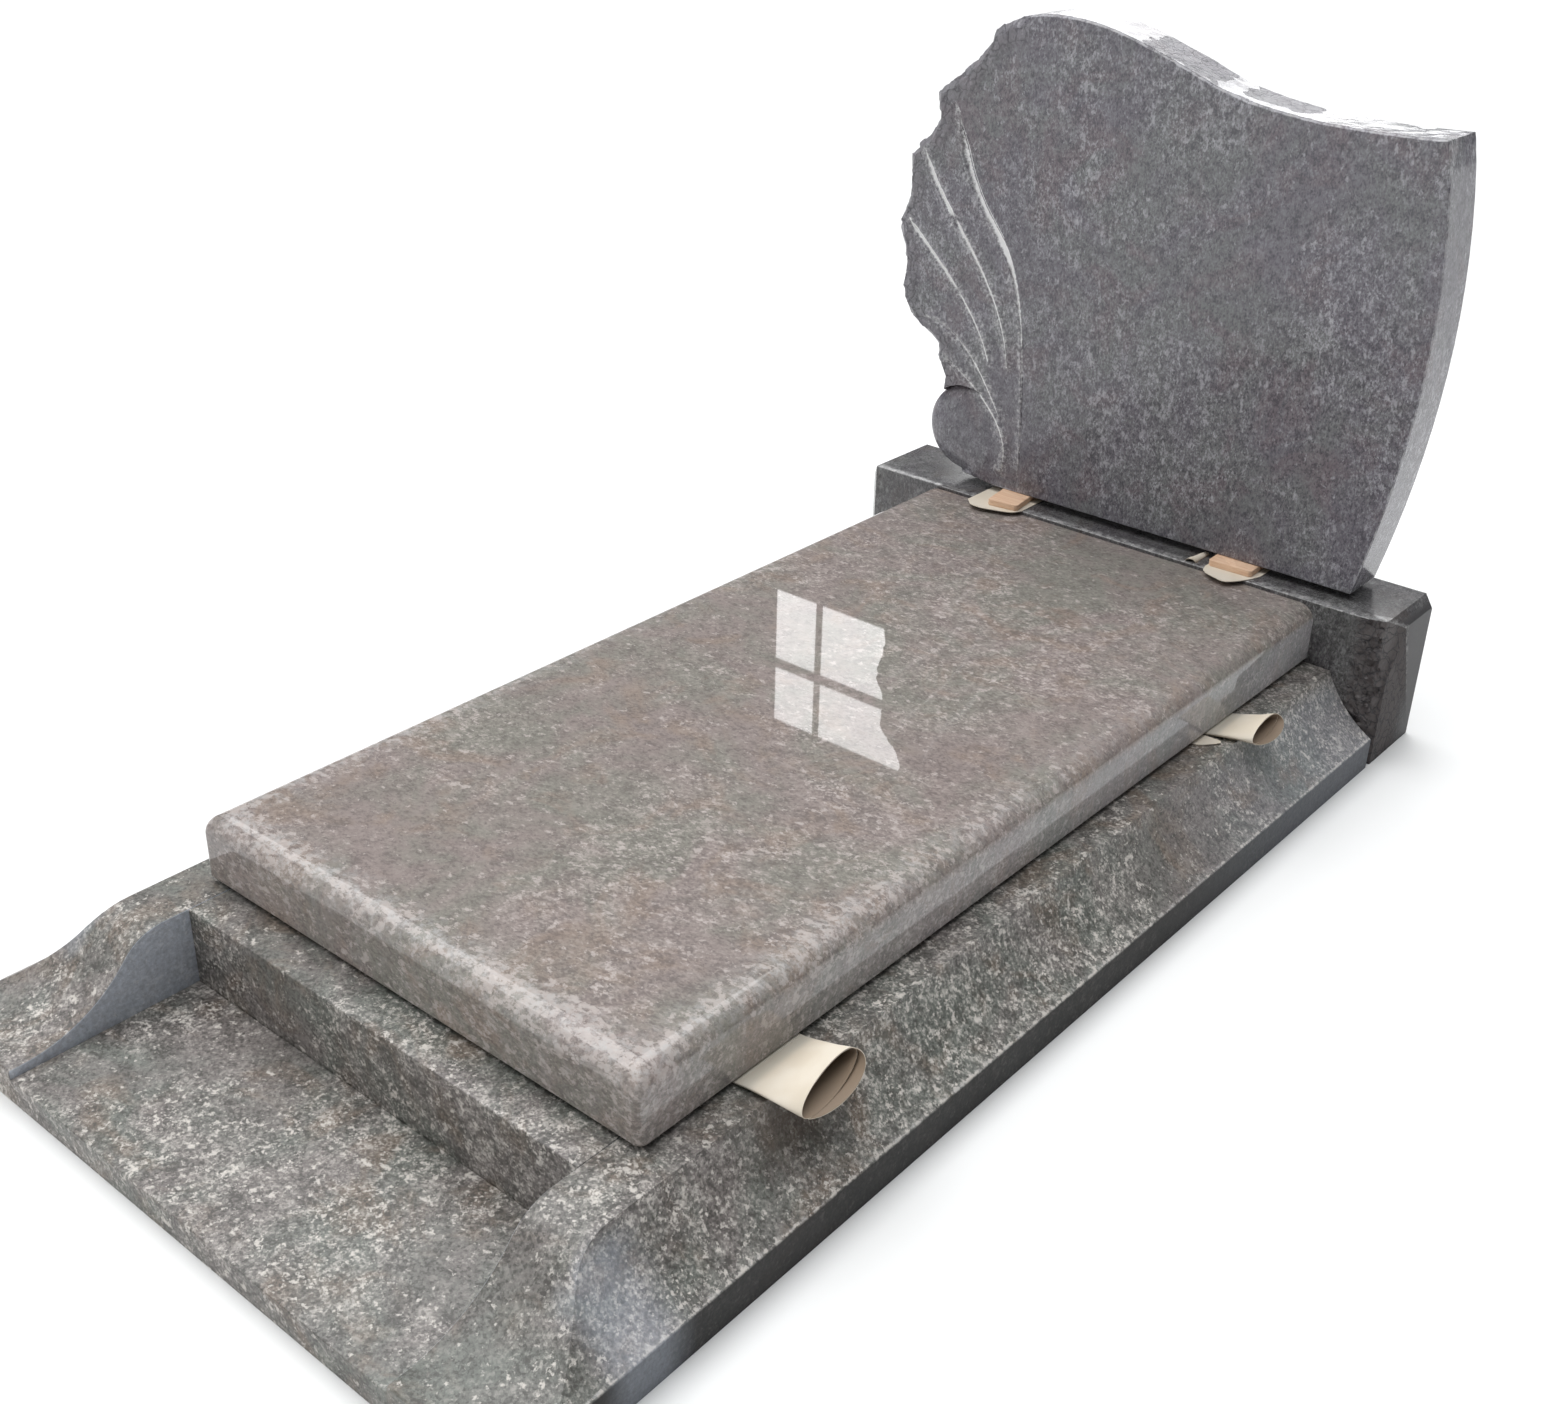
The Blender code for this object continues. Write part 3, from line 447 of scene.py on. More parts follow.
def kerb_mesh(name, side):
    low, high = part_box(name)
    inner = min(abs(low.x), abs(high.x))
    outer = max(abs(low.x), abs(high.x))
    shoulder = (inner + KERB_TOP_WIDTH, high.z)
    cove = arc_between(shoulder, (outer - ARRIS, KERB_LIP_HEIGHT), COVE_SAG, COVE_SAMPLES)
    rings = []
    for y, height in kerb_stations(low.y, high.y, high.z):
        ring = [(side * x, y, z) for x, z in kerb_ring(inner, outer, cove, height)]
        rings.append(ring if side < 0 else list(reversed(ring)))
    mesh = loft(name, rings, sharp_angle=24.0)
    spots = [(abs(x), y - low.y) for ring in rings for x, y, _ in ring]
    # Sawn outer face, painted dark as painted shade
    add_values(mesh, "sawn", [float(x > outer - JOINT and along > JOINT) for x, along in spots])
    # Painted sky reflection on the inner wall and the cove
    add_values(mesh, "painted_reflection", [painted_reflection_share(x - inner, along) for x, along in spots])
    # Painted highlight along the outer arris of the cove
    add_values(mesh, "arris", [0.8 * float(0.5 * ARRIS < outer - x < 2 * ARRIS) for x, _ in spots])
    # Painted shade on the cove below the roll
    add_values(mesh, "stain_and_shade", [painted_shade_share(x - inner, along) for x, along in spots])
    return mesh


def painted_reflection_share(across, along):
    """How blue and even the stone is painted, as a painted sky reflection: its inner wall, and two
    patches of the cove.
    """
    wall = WALL_REFLECTION_SHARE * float(across < JOINT < along)
    patch = smooth(along, *COVE_REFLECTION_ALONG[:2]) * (1.0 - smooth(along, *COVE_REFLECTION_ALONG[2:]))
    cove = max(COVE_REFLECTION_SHARE * patch, COVE_HEAD_SHARE * smooth(along, *COVE_HEAD_ALONG))
    return max(wall, cove * smooth(across, *COVE_REFLECTION_ACROSS))


def painted_shade_share(across, along):
    """Painted shade: how dark the cove is painted below the roll at the foot end of the slab."""
    return math.exp(-((along - PAINTED_SHADE_PLACE[1]) / PAINTED_SHADE_REACH[1]) ** 2
                    - ((across - PAINTED_SHADE_PLACE[0]) / PAINTED_SHADE_REACH[0]) ** 2)


def block_mesh(name, low, high, radius=ARRIS):
    """Straight block with a small round arris at its top."""
    rings = [[(low.x, low.y, low.z), (high.x, low.y, low.z),
              (high.x, high.y, low.z), (low.x, high.y, low.z)]]
    for inset_share, fall_share in quarter((1.0, 0.0), 1.0, 90.0, ARRIS_STEPS)[::-1]:
        inset = radius * inset_share
        level = high.z - radius * (1.0 - fall_share)
        rings.append([(low.x + inset, low.y + inset, level), (high.x - inset, low.y + inset, level),
                      (high.x - inset, high.y - inset, level), (low.x + inset, high.y - inset, level)])
    return loft(name, rings)


def slab_ring(low, high, inset, level):
    """Plan of the slab: rounded corners at the foot and a square head end."""
    radius = max(SLAB_CORNER_RADIUS - inset / 2, ARRIS)
    left, right, foot = low.x + inset, high.x - inset, low.y + inset
    ring = [(right, high.y), (left, high.y)]
    ring += quarter((left + radius, foot + radius), radius, 180.0, SLAB_CORNER_STEPS)
    ring += quarter((right - radius, foot + radius), radius, 270.0, SLAB_CORNER_STEPS)
    return [(x, y, level) for x, y in ring]


def slab_mesh():
    """Slab with round top edges, which are painted lighter as a painted highlight, and long sides painted
    bluer as a painted sky reflection.
    """
    low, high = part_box("ledger_slab")
    levels = [(ARRIS, low.z, 0.2), (0.0, low.z + ARRIS, 0.2), (0.0, high.z - SLAB_EDGE_RADIUS, 0.3)]
    for angle in spaced(0.0, math.pi / 2, SLAB_EDGE_STEPS)[1:]:
        levels.append((SLAB_EDGE_RADIUS * (1 - math.cos(angle)),
                       high.z - SLAB_EDGE_RADIUS * (1 - math.sin(angle)),
                       mix(0.3, 0.75, math.sin(angle) ** 2)))
    levels += [(SLAB_EDGE_RADIUS + reach, high.z, highlight) for reach, highlight in SLAB_TOP_HIGHLIGHT]
    rings = [slab_ring(low, high, inset, level) for inset, level, _ in levels]
    mesh = loft("ledger_slab", rings)
    # Painted highlight: strong on the round top edge, weaker on the sides, none at the head end
    add_values(mesh, "arris", [highlight if y < high.y - JOINT else 0.0
                               for ring, (_, _, highlight) in zip(rings, levels) for _, y, _ in ring])
    # Long sides painted bluer towards the top and the head, as a painted sky reflection
    add_values(mesh, "painted_reflection", [SLAB_SIDE_REFLECTION * smooth(high.z - z, 0.01, 0.03)
                              * mix(0.1, 1.0, smooth(y, -0.4, 0.7)) * float(abs(x) > high.x - ARRIS)
                              for ring in rings for x, y, z in ring])
    return mesh


def facet(point, size):
    """From -1 to 1: flat facets about size across, as a broken stone has them."""
    centre = noise.voronoi(point / size)[1][0]
    lean = noise.noise_vector(centre * 3.7 + Vector((5.1, 2.3, 8.7)))
    return max(-1.0, min(1.0, 2.2 * (point / size - centre).dot(lean) + 0.8 * lean.x))


def broken(point):
    """Depth of the broken surface at a point, in metres to either side."""
    return sum(amount * facet(point, size) for size, amount in CHIP_SIZES)


def corner_bevel(level):
    """How far the plinth's front right corner is knocked off at a height."""
    for (low, near), (high, far) in zip(PLINTH_CORNER, PLINTH_CORNER[1:]):
        if level <= high:
            return mix(near, far, (level - low) / (high - low))
    return PLINTH_CORNER[-1][1]


def plinth_ring(x, low, high):
    """Section of the plinth at x as (place, how broken the surface is there, how much painted highlight
    its arris has).
    """
    from_end = min(x - low.x, high.x - x)
    chamfer = clamp(1.0 - from_end / PLINTH_END_CHAMFER)
    front = low.y + PLINTH_END_CHAMFER * chamfer
    back = high.y - ARRIS * chamfer
    top = high.z - PLINTH_END_CHAMFER_DROP * chamfer
    pitched = smooth(x, PLINTH_PITCH_START, high.x - PLINTH_END_CHAMFER)
    ring = []
    for z in spaced(0.0, top - ARRIS, PLINTH_ROWS):
        hollow = PLINTH_PITCH_DEPTH * pitched * (0.5 + 0.5 * facet(Vector((x, 0.0, z)), CHIP_SIZES[0][0]))
        hollow += PLINTH_CHIP_DEPTH * pitched * (1.0 + facet(Vector((x, 1.0, z)), CHIP_SIZES[1][0]))
        bevel = corner_bevel(z) * max(0.0, 1.0 - (high.x - x) / PLINTH_CORNER_REACH)
        ring.append(((x, max(front + hollow * (1.0 - chamfer), front + bevel), z), pitched, 0.0))
    last = ring[-1][0][1]
    # Top front arris, with a painted highlight
    for y, z in reversed(quarter((last + ARRIS, top - ARRIS), ARRIS, 90.0, ARRIS_STEPS)[:-1]):
        ring.append(((x, y, z), 0.3 * pitched, 1.0))
    ring += [((x, y, top), 0.0, 0.0) for y in spaced(last + ARRIS, back - ARRIS, 8)[1:]]
    ring += [((x, back, top - ARRIS), 0.0, 0.0), ((x, back, 0.0), 0.0, 0.0)]
    return ring


def plinth_mesh():
    low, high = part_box("plinth")
    stations = [low.x, low.x + PLINTH_END_CHAMFER, -0.25, 0.0, 0.25, PLINTH_PITCH_START]
    fine = round((high.x - PLINTH_END_CHAMFER - PLINTH_PITCH_START) / PLINTH_PITCH_STEP)
    stations += spaced(PLINTH_PITCH_START, high.x - PLINTH_END_CHAMFER, fine)[1:]
    stations += spaced(high.x - PLINTH_END_CHAMFER, high.x, 4)[1:]
    rings = [plinth_ring(x, low, high) for x in stations]
    mesh = loft("plinth", [[spot for spot, _, _ in ring] for ring in rings], sharp_angle=28.0)
    add_values(mesh, "raw", [raw for ring in rings for _, raw, _ in ring])
    add_values(mesh, "arris", [arris for ring in rings for _, _, arris in ring])
    # Sawn end face, painted darker as painted shade
    add_values(mesh, "sawn", [smooth(x, high.x - 0.8 * PLINTH_END_CHAMFER, high.x - 0.002)
                              for ring in rings for (x, _, _), _, _ in ring])
    return mesh


# Headstone

def stone_point(share):
    return share[0] * HEADSTONE_WIDTH, share[1] * HEADSTONE_HEIGHT


def boss_point(angle, radius):
    centre = stone_point(BOSS_CENTRE)
    turn = math.radians(angle)
    return centre[0] + radius * math.cos(turn), centre[1] + radius * math.sin(turn)


def pitched_points(corners, jogs):
    """Points along straight facets, with small jogs as a pitching tool leaves."""
    result = []
    for start, end in zip(corners, corners[1:]):
        first = Vector(start)
        chord = Vector(end) - first
        steps = max(1, round(chord.length / PITCH_SPACING))
        normal = Vector((-chord.y, chord.x)).normalized()
        for step in range(steps):
            jog = 0.0 if step == 0 else jogs.uniform(-PITCH_JOG, PITCH_JOG)
            result.append(tuple(first + chord * (step / steps) + normal * jog))
    return result


def headstone_outline():
    """Outline anticlockwise from the bottom right, as (x, z, how rough its edge is)."""
    shares = [step / SMOOTH_STEPS for step in range(SMOOTH_STEPS)]
    curves = ((RIGHT_EDGE, 0.0), (TOP_SADDLE, TOP_PITCH_SHARE), (TOP_CREST, TOP_PITCH_SHARE))
    outline = [(*stone_point(bezier(curve, share)), rough)
               for curve, rough in curves for share in shares]
    corners = [stone_point(pair) for pair in (TOP_CREST[-1], *PITCHED_EDGE)]
    corners.append(boss_point(BOSS_NOTCH_ANGLE, BOSS_RADIUS))
    outline += [(*point, 1.0) for point in pitched_points(corners, random.Random(JOG_SEED))]
    for angle in spaced(BOSS_NOTCH_ANGLE, BOSS_FOOT_ANGLE, BOSS_EDGE_STEPS):
        x, z = boss_point(angle, BOSS_RADIUS)
        outline.append((x, max(z, 0.0), 0.0))
    outline.append((*stone_point(BOTTOM_LEFT), 0.0))
    return outline


def headstone_rim():
    """Outline points with the bevels and hollows of the edge behind them."""
    outline = headstone_outline()
    cuts = random.Random(BEVEL_SEED)
    rim = []
    for index, (x, z, rough) in enumerate(outline):
        before = Vector(outline[index - 1][:2])
        after = Vector(outline[(index + 1) % len(outline)][:2])
        along = (after - before).normalized()
        bevel = mix(ARRIS, PITCH_BEVEL * cuts.uniform(*FRONT_BEVEL_RANGE), rough)
        fall = mix(ARRIS, PITCH_BEVEL * cuts.uniform(*FRONT_FALL_RANGE), rough)
        back_bevel = mix(ARRIS, PITCH_BEVEL * cuts.uniform(*BACK_BEVEL_RANGE), rough)
        hollows = Vector([rough * cuts.uniform(0.0, PITCH_HOLLOW) for _ in range(3)])
        inward = Vector((-along.y, along.x))
        rim.append(Rim(Vector((x, z)), inward, rough, bevel, fall, back_bevel, hollows))
    return rim


def fine_rim(rim):
    """The same outline with points close together, closest where the edge is broken."""
    result = []
    for start, end in zip(rim, rim[1:] + rim[:1]):
        spacing = ROUGH_STEP if max(start.rough, end.rough) > 0.0 else SMOOTH_STEP
        steps = max(1, math.ceil((end.spot - start.spot).length / spacing))
        for step in range(steps):
            share = step / steps
            inward = start.inward.lerp(end.inward, share).normalized()
            values = [mix(low, high, share) for low, high in zip(start[2:6], end[2:6])]
            hollows = start.hollows.lerp(end.hollows, share)
            result.append(Rim(start.spot.lerp(end.spot, share), inward, *values, hollows))
    return result


def edge_stations(point):
    """How far in and how deep the edge goes, from the front face to the back."""
    front = boss_depth(np.array([point.spot]))[0]
    marks = (
        (point.bevel, front), (0.0, point.fall + front),
        (point.hollows[0], HOLLOW_DEPTHS[0] * HEADSTONE_THICKNESS),
        (point.hollows[1], HOLLOW_DEPTHS[1] * HEADSTONE_THICKNESS),
        (point.hollows[2], HEADSTONE_THICKNESS - point.back_bevel),
        (point.hollows[2] + point.back_bevel, HEADSTONE_THICKNESS),
    )
    stations = [marks[0]]
    for (inset_a, depth_a), (inset_b, depth_b), steps in zip(marks, marks[1:], SIDE_STEPS):
        stations += list(zip(spaced(inset_a, inset_b, steps)[1:],
                             spaced(depth_a, depth_b, steps)[1:]))
    return stations


def broken_edge(point):
    """Points of the edge behind one outline point, as (x, depth, z)."""
    line = []
    for inset, depth in edge_stations(point):
        spot = point.spot + point.inward * inset
        place = Vector((spot.x, depth, spot.y))
        if point.rough > 0.0:
            inner = inset + point.rough * (broken(place) + CHIP_SIZES[0][1])
            spot = point.spot + point.inward * max(inner, 0.0)
        line.append((spot.x, depth, max(spot.y, 0.0)))
    return line


def ray_half_width(share, half_width):
    """A ray opens quickly from its tip, and closes slowly towards the stem."""
    opening = clamp(share / RAY_TIP_SHARE)
    closing = clamp((1.0 - share) / RAY_TAIL_SHARE)
    return half_width * opening * mix(RAY_TAIL_WIDTH, 1.0, closing)


def ray_line(ray):
    """Centre line of a ray, and its half width at every point."""
    shares = spaced(0.0, 1.0, RAY_STEPS)
    spots = np.array([stone_point(bezier(ray.controls, share)) for share in shares])
    widths = np.array([ray_half_width(share, ray.half_width) for share in shares])
    return spots, widths


def side_of(spots):
    """Unit vectors to the left of a line at each of its points."""
    along = np.gradient(spots, axis=0)
    along /= np.linalg.norm(along, axis=1, keepdims=True)
    return np.stack((-along[:, 1], along[:, 0]), axis=1)


def nearest_on(points, spots):
    """For points and a dense line: distance, index on the line, and which side."""
    gaps = points[:, None, :] - spots[None, :, :]
    distances = np.linalg.norm(gaps, axis=2)
    index = distances.argmin(axis=1)
    rows = np.arange(len(points))
    side = (gaps[rows, index] * side_of(spots)[index]).sum(axis=1)
    return distances[rows, index], index, side


def boss_depth(points):
    """Rounded fall of the boss towards its own edge, none on its right side."""
    offset = points - np.array(stone_point(BOSS_CENTRE))
    reach = np.linalg.norm(offset, axis=1) / BOSS_RADIUS
    angle = np.degrees(np.arctan2(offset[:, 1], offset[:, 0])) % 360.0
    fade = np.clip(np.minimum(angle - BOSS_FALL_START, BOSS_FALL_END - angle)
                   / BOSS_FALL_FADE, 0.0, 1.0)
    outward = np.clip((reach - BOSS_FLAT_SHARE) / (1.0 - BOSS_FLAT_SHARE), 0.0, 1.0)
    depth = BOSS_DROP * fade * (1.0 - np.sqrt(1.0 - outward ** 2))
    return np.where(reach > 1.0 + 1e-6, 0.0, depth)


def carving(points):
    """Depth of the carving at points of the front face, and how white its cut is."""
    depth = np.zeros(len(points))
    white = np.zeros(len(points))
    distances = []
    for ray in RAYS:
        spots, widths = ray_line(ray)
        distance, index, side = nearest_on(points, spots)
        width = np.maximum(widths[index], 1e-5)
        across = np.clip(distance / width, 0.0, 1.0)
        depth = np.maximum(depth, ray.depth * width / ray.half_width * (1.0 - across))
        bright = np.interp(index / RAY_STEPS, ray.white_at, ray.whites)
        white = np.maximum(white, bright * np.clip(1.00 - 0.80 * across, 0.0, 1.0))
        distances.append(distance)
        if ray is RAYS[0]:
            left_of_fan = side < 0.0
            last, offset, spread, strength = SECOND_LINE
            beside = np.exp(-((side / width - offset) / spread) ** 2)
            white = np.maximum(white, strength * beside * (index < last * RAY_STEPS))
    nearest, second = np.sort(np.array(distances), axis=0)[:2]
    between = nearest / (nearest + second + 1e-6)
    fade = np.clip(1.0 - (nearest + second) / FLUTE_REACH, 0.0, 1.0) ** 0.5
    white = np.maximum(white, left_of_fan * FAN_GRAIN * np.exp(-nearest / FAN_GRAIN_REACH))
    flute = FLUTE_DEPTH * 4.0 * between * (1.0 - between) * fade
    return depth + np.where(left_of_fan, flute, 0.0), white


def inside_ring(points, ring):
    """Which points lie inside a closed ring."""
    result = np.zeros(len(points), bool)
    for start, end in zip(ring, np.roll(ring, -1, axis=0)):
        crosses = (start[1] > points[:, 1]) != (end[1] > points[:, 1])
        rise = end[1] - start[1] if end[1] != start[1] else 1.0
        x = start[0] + (end[0] - start[0]) * (points[:, 1] - start[1]) / rise
        result ^= crosses & (points[:, 0] < x)
    return result


def ring_distance(points, ring):
    """Distance from points to a closed ring, and the index of its nearest segment."""
    ends = np.roll(ring, -1, axis=0)
    chords = ends - ring
    lengths = np.maximum((chords ** 2).sum(axis=1), 1e-12)
    best = np.full(len(points), np.inf)
    index = np.zeros(len(points), int)
    for place, (start, chord, length) in enumerate(zip(ring, chords, lengths)):
        share = np.clip(((points - start) * chord).sum(axis=1) / length, 0.0, 1.0)
        distance = np.linalg.norm(points - start - share[:, None] * chord, axis=1)
        closer = distance < best
        best[closer] = distance[closer]
        index[closer] = place
    return best, index


def grid_points(low, high, spacing):
    """Staggered grid of points over a rectangle."""
    points = []
    rows = math.ceil((high[1] - low[1]) / (spacing * 0.87))
    for row in range(rows + 1):
        shift = 0.5 * spacing * (row % 2)
        columns = math.ceil((high[0] - low[0]) / spacing)
        points += [(low[0] + shift + spacing * column, low[1] + 0.87 * spacing * row)
                   for column in range(columns + 1)]
    return np.array(points)


def triangles_inside(ring, extra, links=()):
    """Triangulates a closed ring with extra points and links inside it."""
    count = len(ring)
    points = [Vector(point) for point in np.vstack((ring, extra))]
    edges = [(index, (index + 1) % count) for index in range(count)]
    edges += [(first + count, second + count) for first, second in links]
    flat, _, triangles, sources, _, _ = delaunay_2d_cdt(points, edges, [], 0, 1e-6, True)
    flat = np.array([tuple(point) for point in flat])
    triangles = np.array([tuple(triangle) for triangle in triangles])
    kept = triangles[inside_ring(flat[triangles].mean(axis=1), ring)]
    rim = {source: index for index, group in enumerate(sources)
           for source in group if source < count}
    return flat, [tuple(int(i) for i in triangle) for triangle in kept], [rim[i] for i in range(count)]


def carving_points(ring):
    """Points and links along the rays and the boss, clear of the face's edge."""
    lines = []
    for ray in RAYS:
        spots, widths = ray_line(ray)
        for band in RAY_BANDS:
            lines.append(spots + side_of(spots) * (widths * band)[:, None])
    rim = range(BOSS_FALL_START, BOSS_NOTCH_ANGLE, 3)
    for radius in (BOSS_RADIUS, BOSS_RADIUS + BOSS_STEP):
        lines.append(np.array([boss_point(angle, radius) for angle in rim]))
    points = []
    links = []
    for line in lines:
        clear = inside_ring(line, ring) & (ring_distance(line, ring)[0] > CARVING_MARGIN)
        for index, spot in enumerate(line):
            if clear[index]:
                points.append(spot)
                if index and clear[index - 1]:
                    links.append((len(points) - 2, len(points) - 1))
    return np.array(points), links


def face_points(ring, rough):
    """Fine points near the carving, the boss and the broken edge, and coarse ones beyond."""
    low, high = ring.min(axis=0), ring.max(axis=0)
    fine = grid_points(low, high, FINE_GRID)
    fine = fine[inside_ring(fine, ring)]
    edge_distance, segment = ring_distance(fine, ring)
    ray_distance = np.min([nearest_on(fine, ray_line(ray)[0])[0] for ray in RAYS], axis=0)
    in_boss = np.linalg.norm(fine - np.array(stone_point(BOSS_CENTRE)), axis=1) < 1.1 * BOSS_RADIUS
    near_edge = (rough[segment] > 0.5) & (edge_distance < EDGE_RAW_REACH)
    wanted = (ray_distance < FAN_REACH) | in_boss | near_edge
    clear = edge_distance > 0.6 * FINE_GRID
    coarse = grid_points(low, high, COARSE_GRID)
    coarse = coarse[inside_ring(coarse, ring)]
    coarse = coarse[ring_distance(coarse, ring)[0] > 0.3 * COARSE_GRID]
    return np.vstack((fine[wanted & clear], coarse))


def top_patch(x, depth):
    """How matt the headstone's top is: two patches that the polisher left."""
    matt = 0.0
    for start, end, back in TOP_PATCHES:
        ragged = 0.012 * noise.noise(Vector((x, depth, 0.0)) * 60.0)
        across = min(x - start, end - x) + ragged
        matt = max(matt, smooth(across, 0.0, 0.008) * smooth(depth - back + ragged, 0.0, 0.01))
    return matt


def front_face(lines, rough):
    """Carved front: points, triangles, rim, and how raw and how white each point is."""
    ring = np.array([(line[0][0], line[0][2]) for line in lines])
    carved, links = carving_points(ring)
    inner = np.vstack((carved, face_points(ring, rough)))
    flat, faces, rim = triangles_inside(ring, inner, links)
    depth, white = carving(flat)
    depth = depth + boss_depth(flat)
    edge_distance, segment = ring_distance(flat, ring)
    raw = (rough[segment] > 0.5) * np.clip(1.0 - edge_distance / EDGE_RAW_REACH, 0.0, 1.0)
    points = [(x, y, z) for (x, z), y in zip(flat, depth)]
    return points, faces, rim, list(raw), list(white)


def edge_raw(point, spot):
    """How raw the edge is: the polisher left two patches of the top, and all of the left edge."""
    on_top = 0.0 < point.rough < 0.5
    return top_patch(spot[0], spot[1]) if on_top else point.rough


def headstone_mesh():
    """Front face with its carving, broken left edge, polished edges and a flat back."""
    rim = fine_rim(headstone_rim())
    lines = [broken_edge(point) for point in rim]
    rough = np.array([point.rough for point in rim])
    vertices, faces, previous, raw, white = front_face(lines, rough)
    arris = [0.0] * len(vertices)
    last = len(lines[0]) - 1
    for level in range(1, last + 1):
        current = list(range(len(vertices), len(vertices) + len(rim)))
        for point, line in zip(rim, lines):
            vertices.append(line[level])
            raw.append(edge_raw(point, line[level]) if level < last else 0.0)
            white.append(0.0)
            # Painted highlight on the front arris of the polished edges
            arris.append(float(level == 1 and point.rough < 0.5))
        for index in range(len(rim)):
            following = (index + 1) % len(rim)
            faces.append((previous[index], previous[following], current[following], current[index]))
        previous = current
    faces.append(tuple(previous))
    place = Vector((headstone_middle(), *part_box("headstone")[0].yz))
    mesh = finish_mesh("headstone", [Vector(vertex) + place for vertex in vertices], faces, 32.0)
    for name, values in (("raw", raw), ("cut", white), ("arris", arris)):
        add_values(mesh, name, values)
    return mesh


def headstone_middle():
    """X of the middle of the headstone's width, whose right edge bulges to the plinth's."""
    right = max(stone_point(bezier(RIGHT_EDGE, step / SMOOTH_STEPS))[0]
                for step in range(SMOOTH_STEPS))
    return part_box("headstone")[1].x - right


# Card and wood

def rounded_outline(corners, rounds=2):
    """Open line with its corners cut again and again, so that it bends smoothly."""
    line = [Vector(corner) for corner in corners]
    for _ in range(rounds):
        finer = [line[0]]
        for start, end in zip(line, line[1:]):
            finer += [start.lerp(end, 0.2), start.lerp(end, 0.8)]
        line = [*finer, line[-1]]
    return [tuple(spot) for spot in line]


def sheet_mesh(name, outline, height, thickness=CARD_THICKNESS):
    """Sheet of card in the outline, whose underside follows a height function."""
    ring = np.array(outline)
    grid = grid_points(ring.min(axis=0), ring.max(axis=0), SHEET_GRID)
    grid = grid[inside_ring(grid, ring)]
    grid = grid[ring_distance(grid, ring)[0] > 0.4 * SHEET_GRID]
    flat, faces, rim = triangles_inside(ring, grid)
    levels = [height(x, y) for x, y in flat]
    under = [(x, y, z) for (x, y), z in zip(flat, levels)]
    over = [(x, y, z + thickness) for (x, y), z in zip(flat, levels)]
    count = len(flat)
    skin = [tuple(reversed(face)) for face in faces]
    skin += [tuple(index + count for index in face) for face in faces]
    for index, start in enumerate(rim):
        end = rim[(index + 1) % len(rim)]
        skin.append((start, end, end + count, start + count))
    return finish_mesh(name, under + over, skin)


def superellipse(half_width, half_height, power, angle):
    across = math.copysign(abs(math.cos(angle)) ** (2 / power), math.cos(angle))
    up = math.copysign(abs(math.sin(angle)) ** (2 / power), math.sin(angle))
    return half_width * across, half_height * up


def roll_ring(roll, share):
    """Spiral section of a roll, pressed flat at share 0 and open at share 1."""
    share = clamp(share)
    swell = share ** ROLL_SWELL
    pressed = 2 * ROLL_WALL + ROLL_PRESSED_GAP
    power = mix(ROLL_PRESSED_POWER, ROLL_OPEN_POWER, clamp(ROLL_ROUNDING * share))
    turn = math.radians(roll.tilt) * swell
    outer, inner = [], []
    for step in range(ROLL_SAMPLES + 1):
        turns = ROLL_TURNS * step / ROLL_SAMPLES
        angle = math.radians(ROLL_START) + 2 * math.pi * turns
        for line, depth in ((outer, 0.0), (inner, ROLL_SHEET)):
            wall = depth + turns * 1.1 * ROLL_SHEET
            half_width = mix(roll.root_width, roll.end_width, share) / 2 - wall
            half_height = mix(pressed, roll.end_height, swell) / 2 - wall
            y, z = superellipse(half_width, half_height, power, angle)
            slant = -roll.slant * share * math.sin(angle)
            slant += ROLL_LIP * share * math.sin(2 * math.pi * min(turns, 0.5))
            line.append((slant, roll.drift * share + y * math.cos(turn) - z * math.sin(turn),
                         JOINT + pressed / 2 + roll.rise * share
                         + y * math.sin(turn) + z * math.cos(turn)))
    return outer + inner[::-1]


def roll_mesh(name, roll, side, middle):
    """Card roll between the slab and the kerb, open where it comes out beside the slab."""
    slab_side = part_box("ledger_slab")[1].x
    kerb_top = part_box("kerb_right")[1].z
    stations = [(-ROLL_INSET, 0.0), (0.0, 0.0)]
    stations += [(roll.reach * step / ROLL_STEPS, step / ROLL_STEPS)
                 for step in range(1, ROLL_STEPS + 1)]
    vertices = []
    for x, share in stations:
        for slant, y, z in roll_ring(roll, share):
            vertices.append((side * (slab_side + x + slant), middle + side * y, kerb_top + z))
    half = ROLL_SAMPLES + 1
    count = 2 * half
    faces = skin_faces(len(stations), count)
    last = (len(stations) - 1) * count
    for index in range(ROLL_SAMPLES):
        across = (index, index + 1, count - 2 - index, count - 1 - index)
        faces.append(tuple(reversed(across)))
        faces.append(tuple(last + corner for corner in across))
    mesh = finish_mesh(name, vertices, faces, 50.0)
    # Inner side of the sheet: the card's brown back, painted near black as painted shade in the hollow
    add_values(mesh, "inside", ([0.0] * half + [1.0] * half) * len(stations))
    add_values(mesh, "shade", [1.0 - smooth(share, *ROLL_SHADE)
                               for _, share in stations for _ in range(count)])
    return mesh


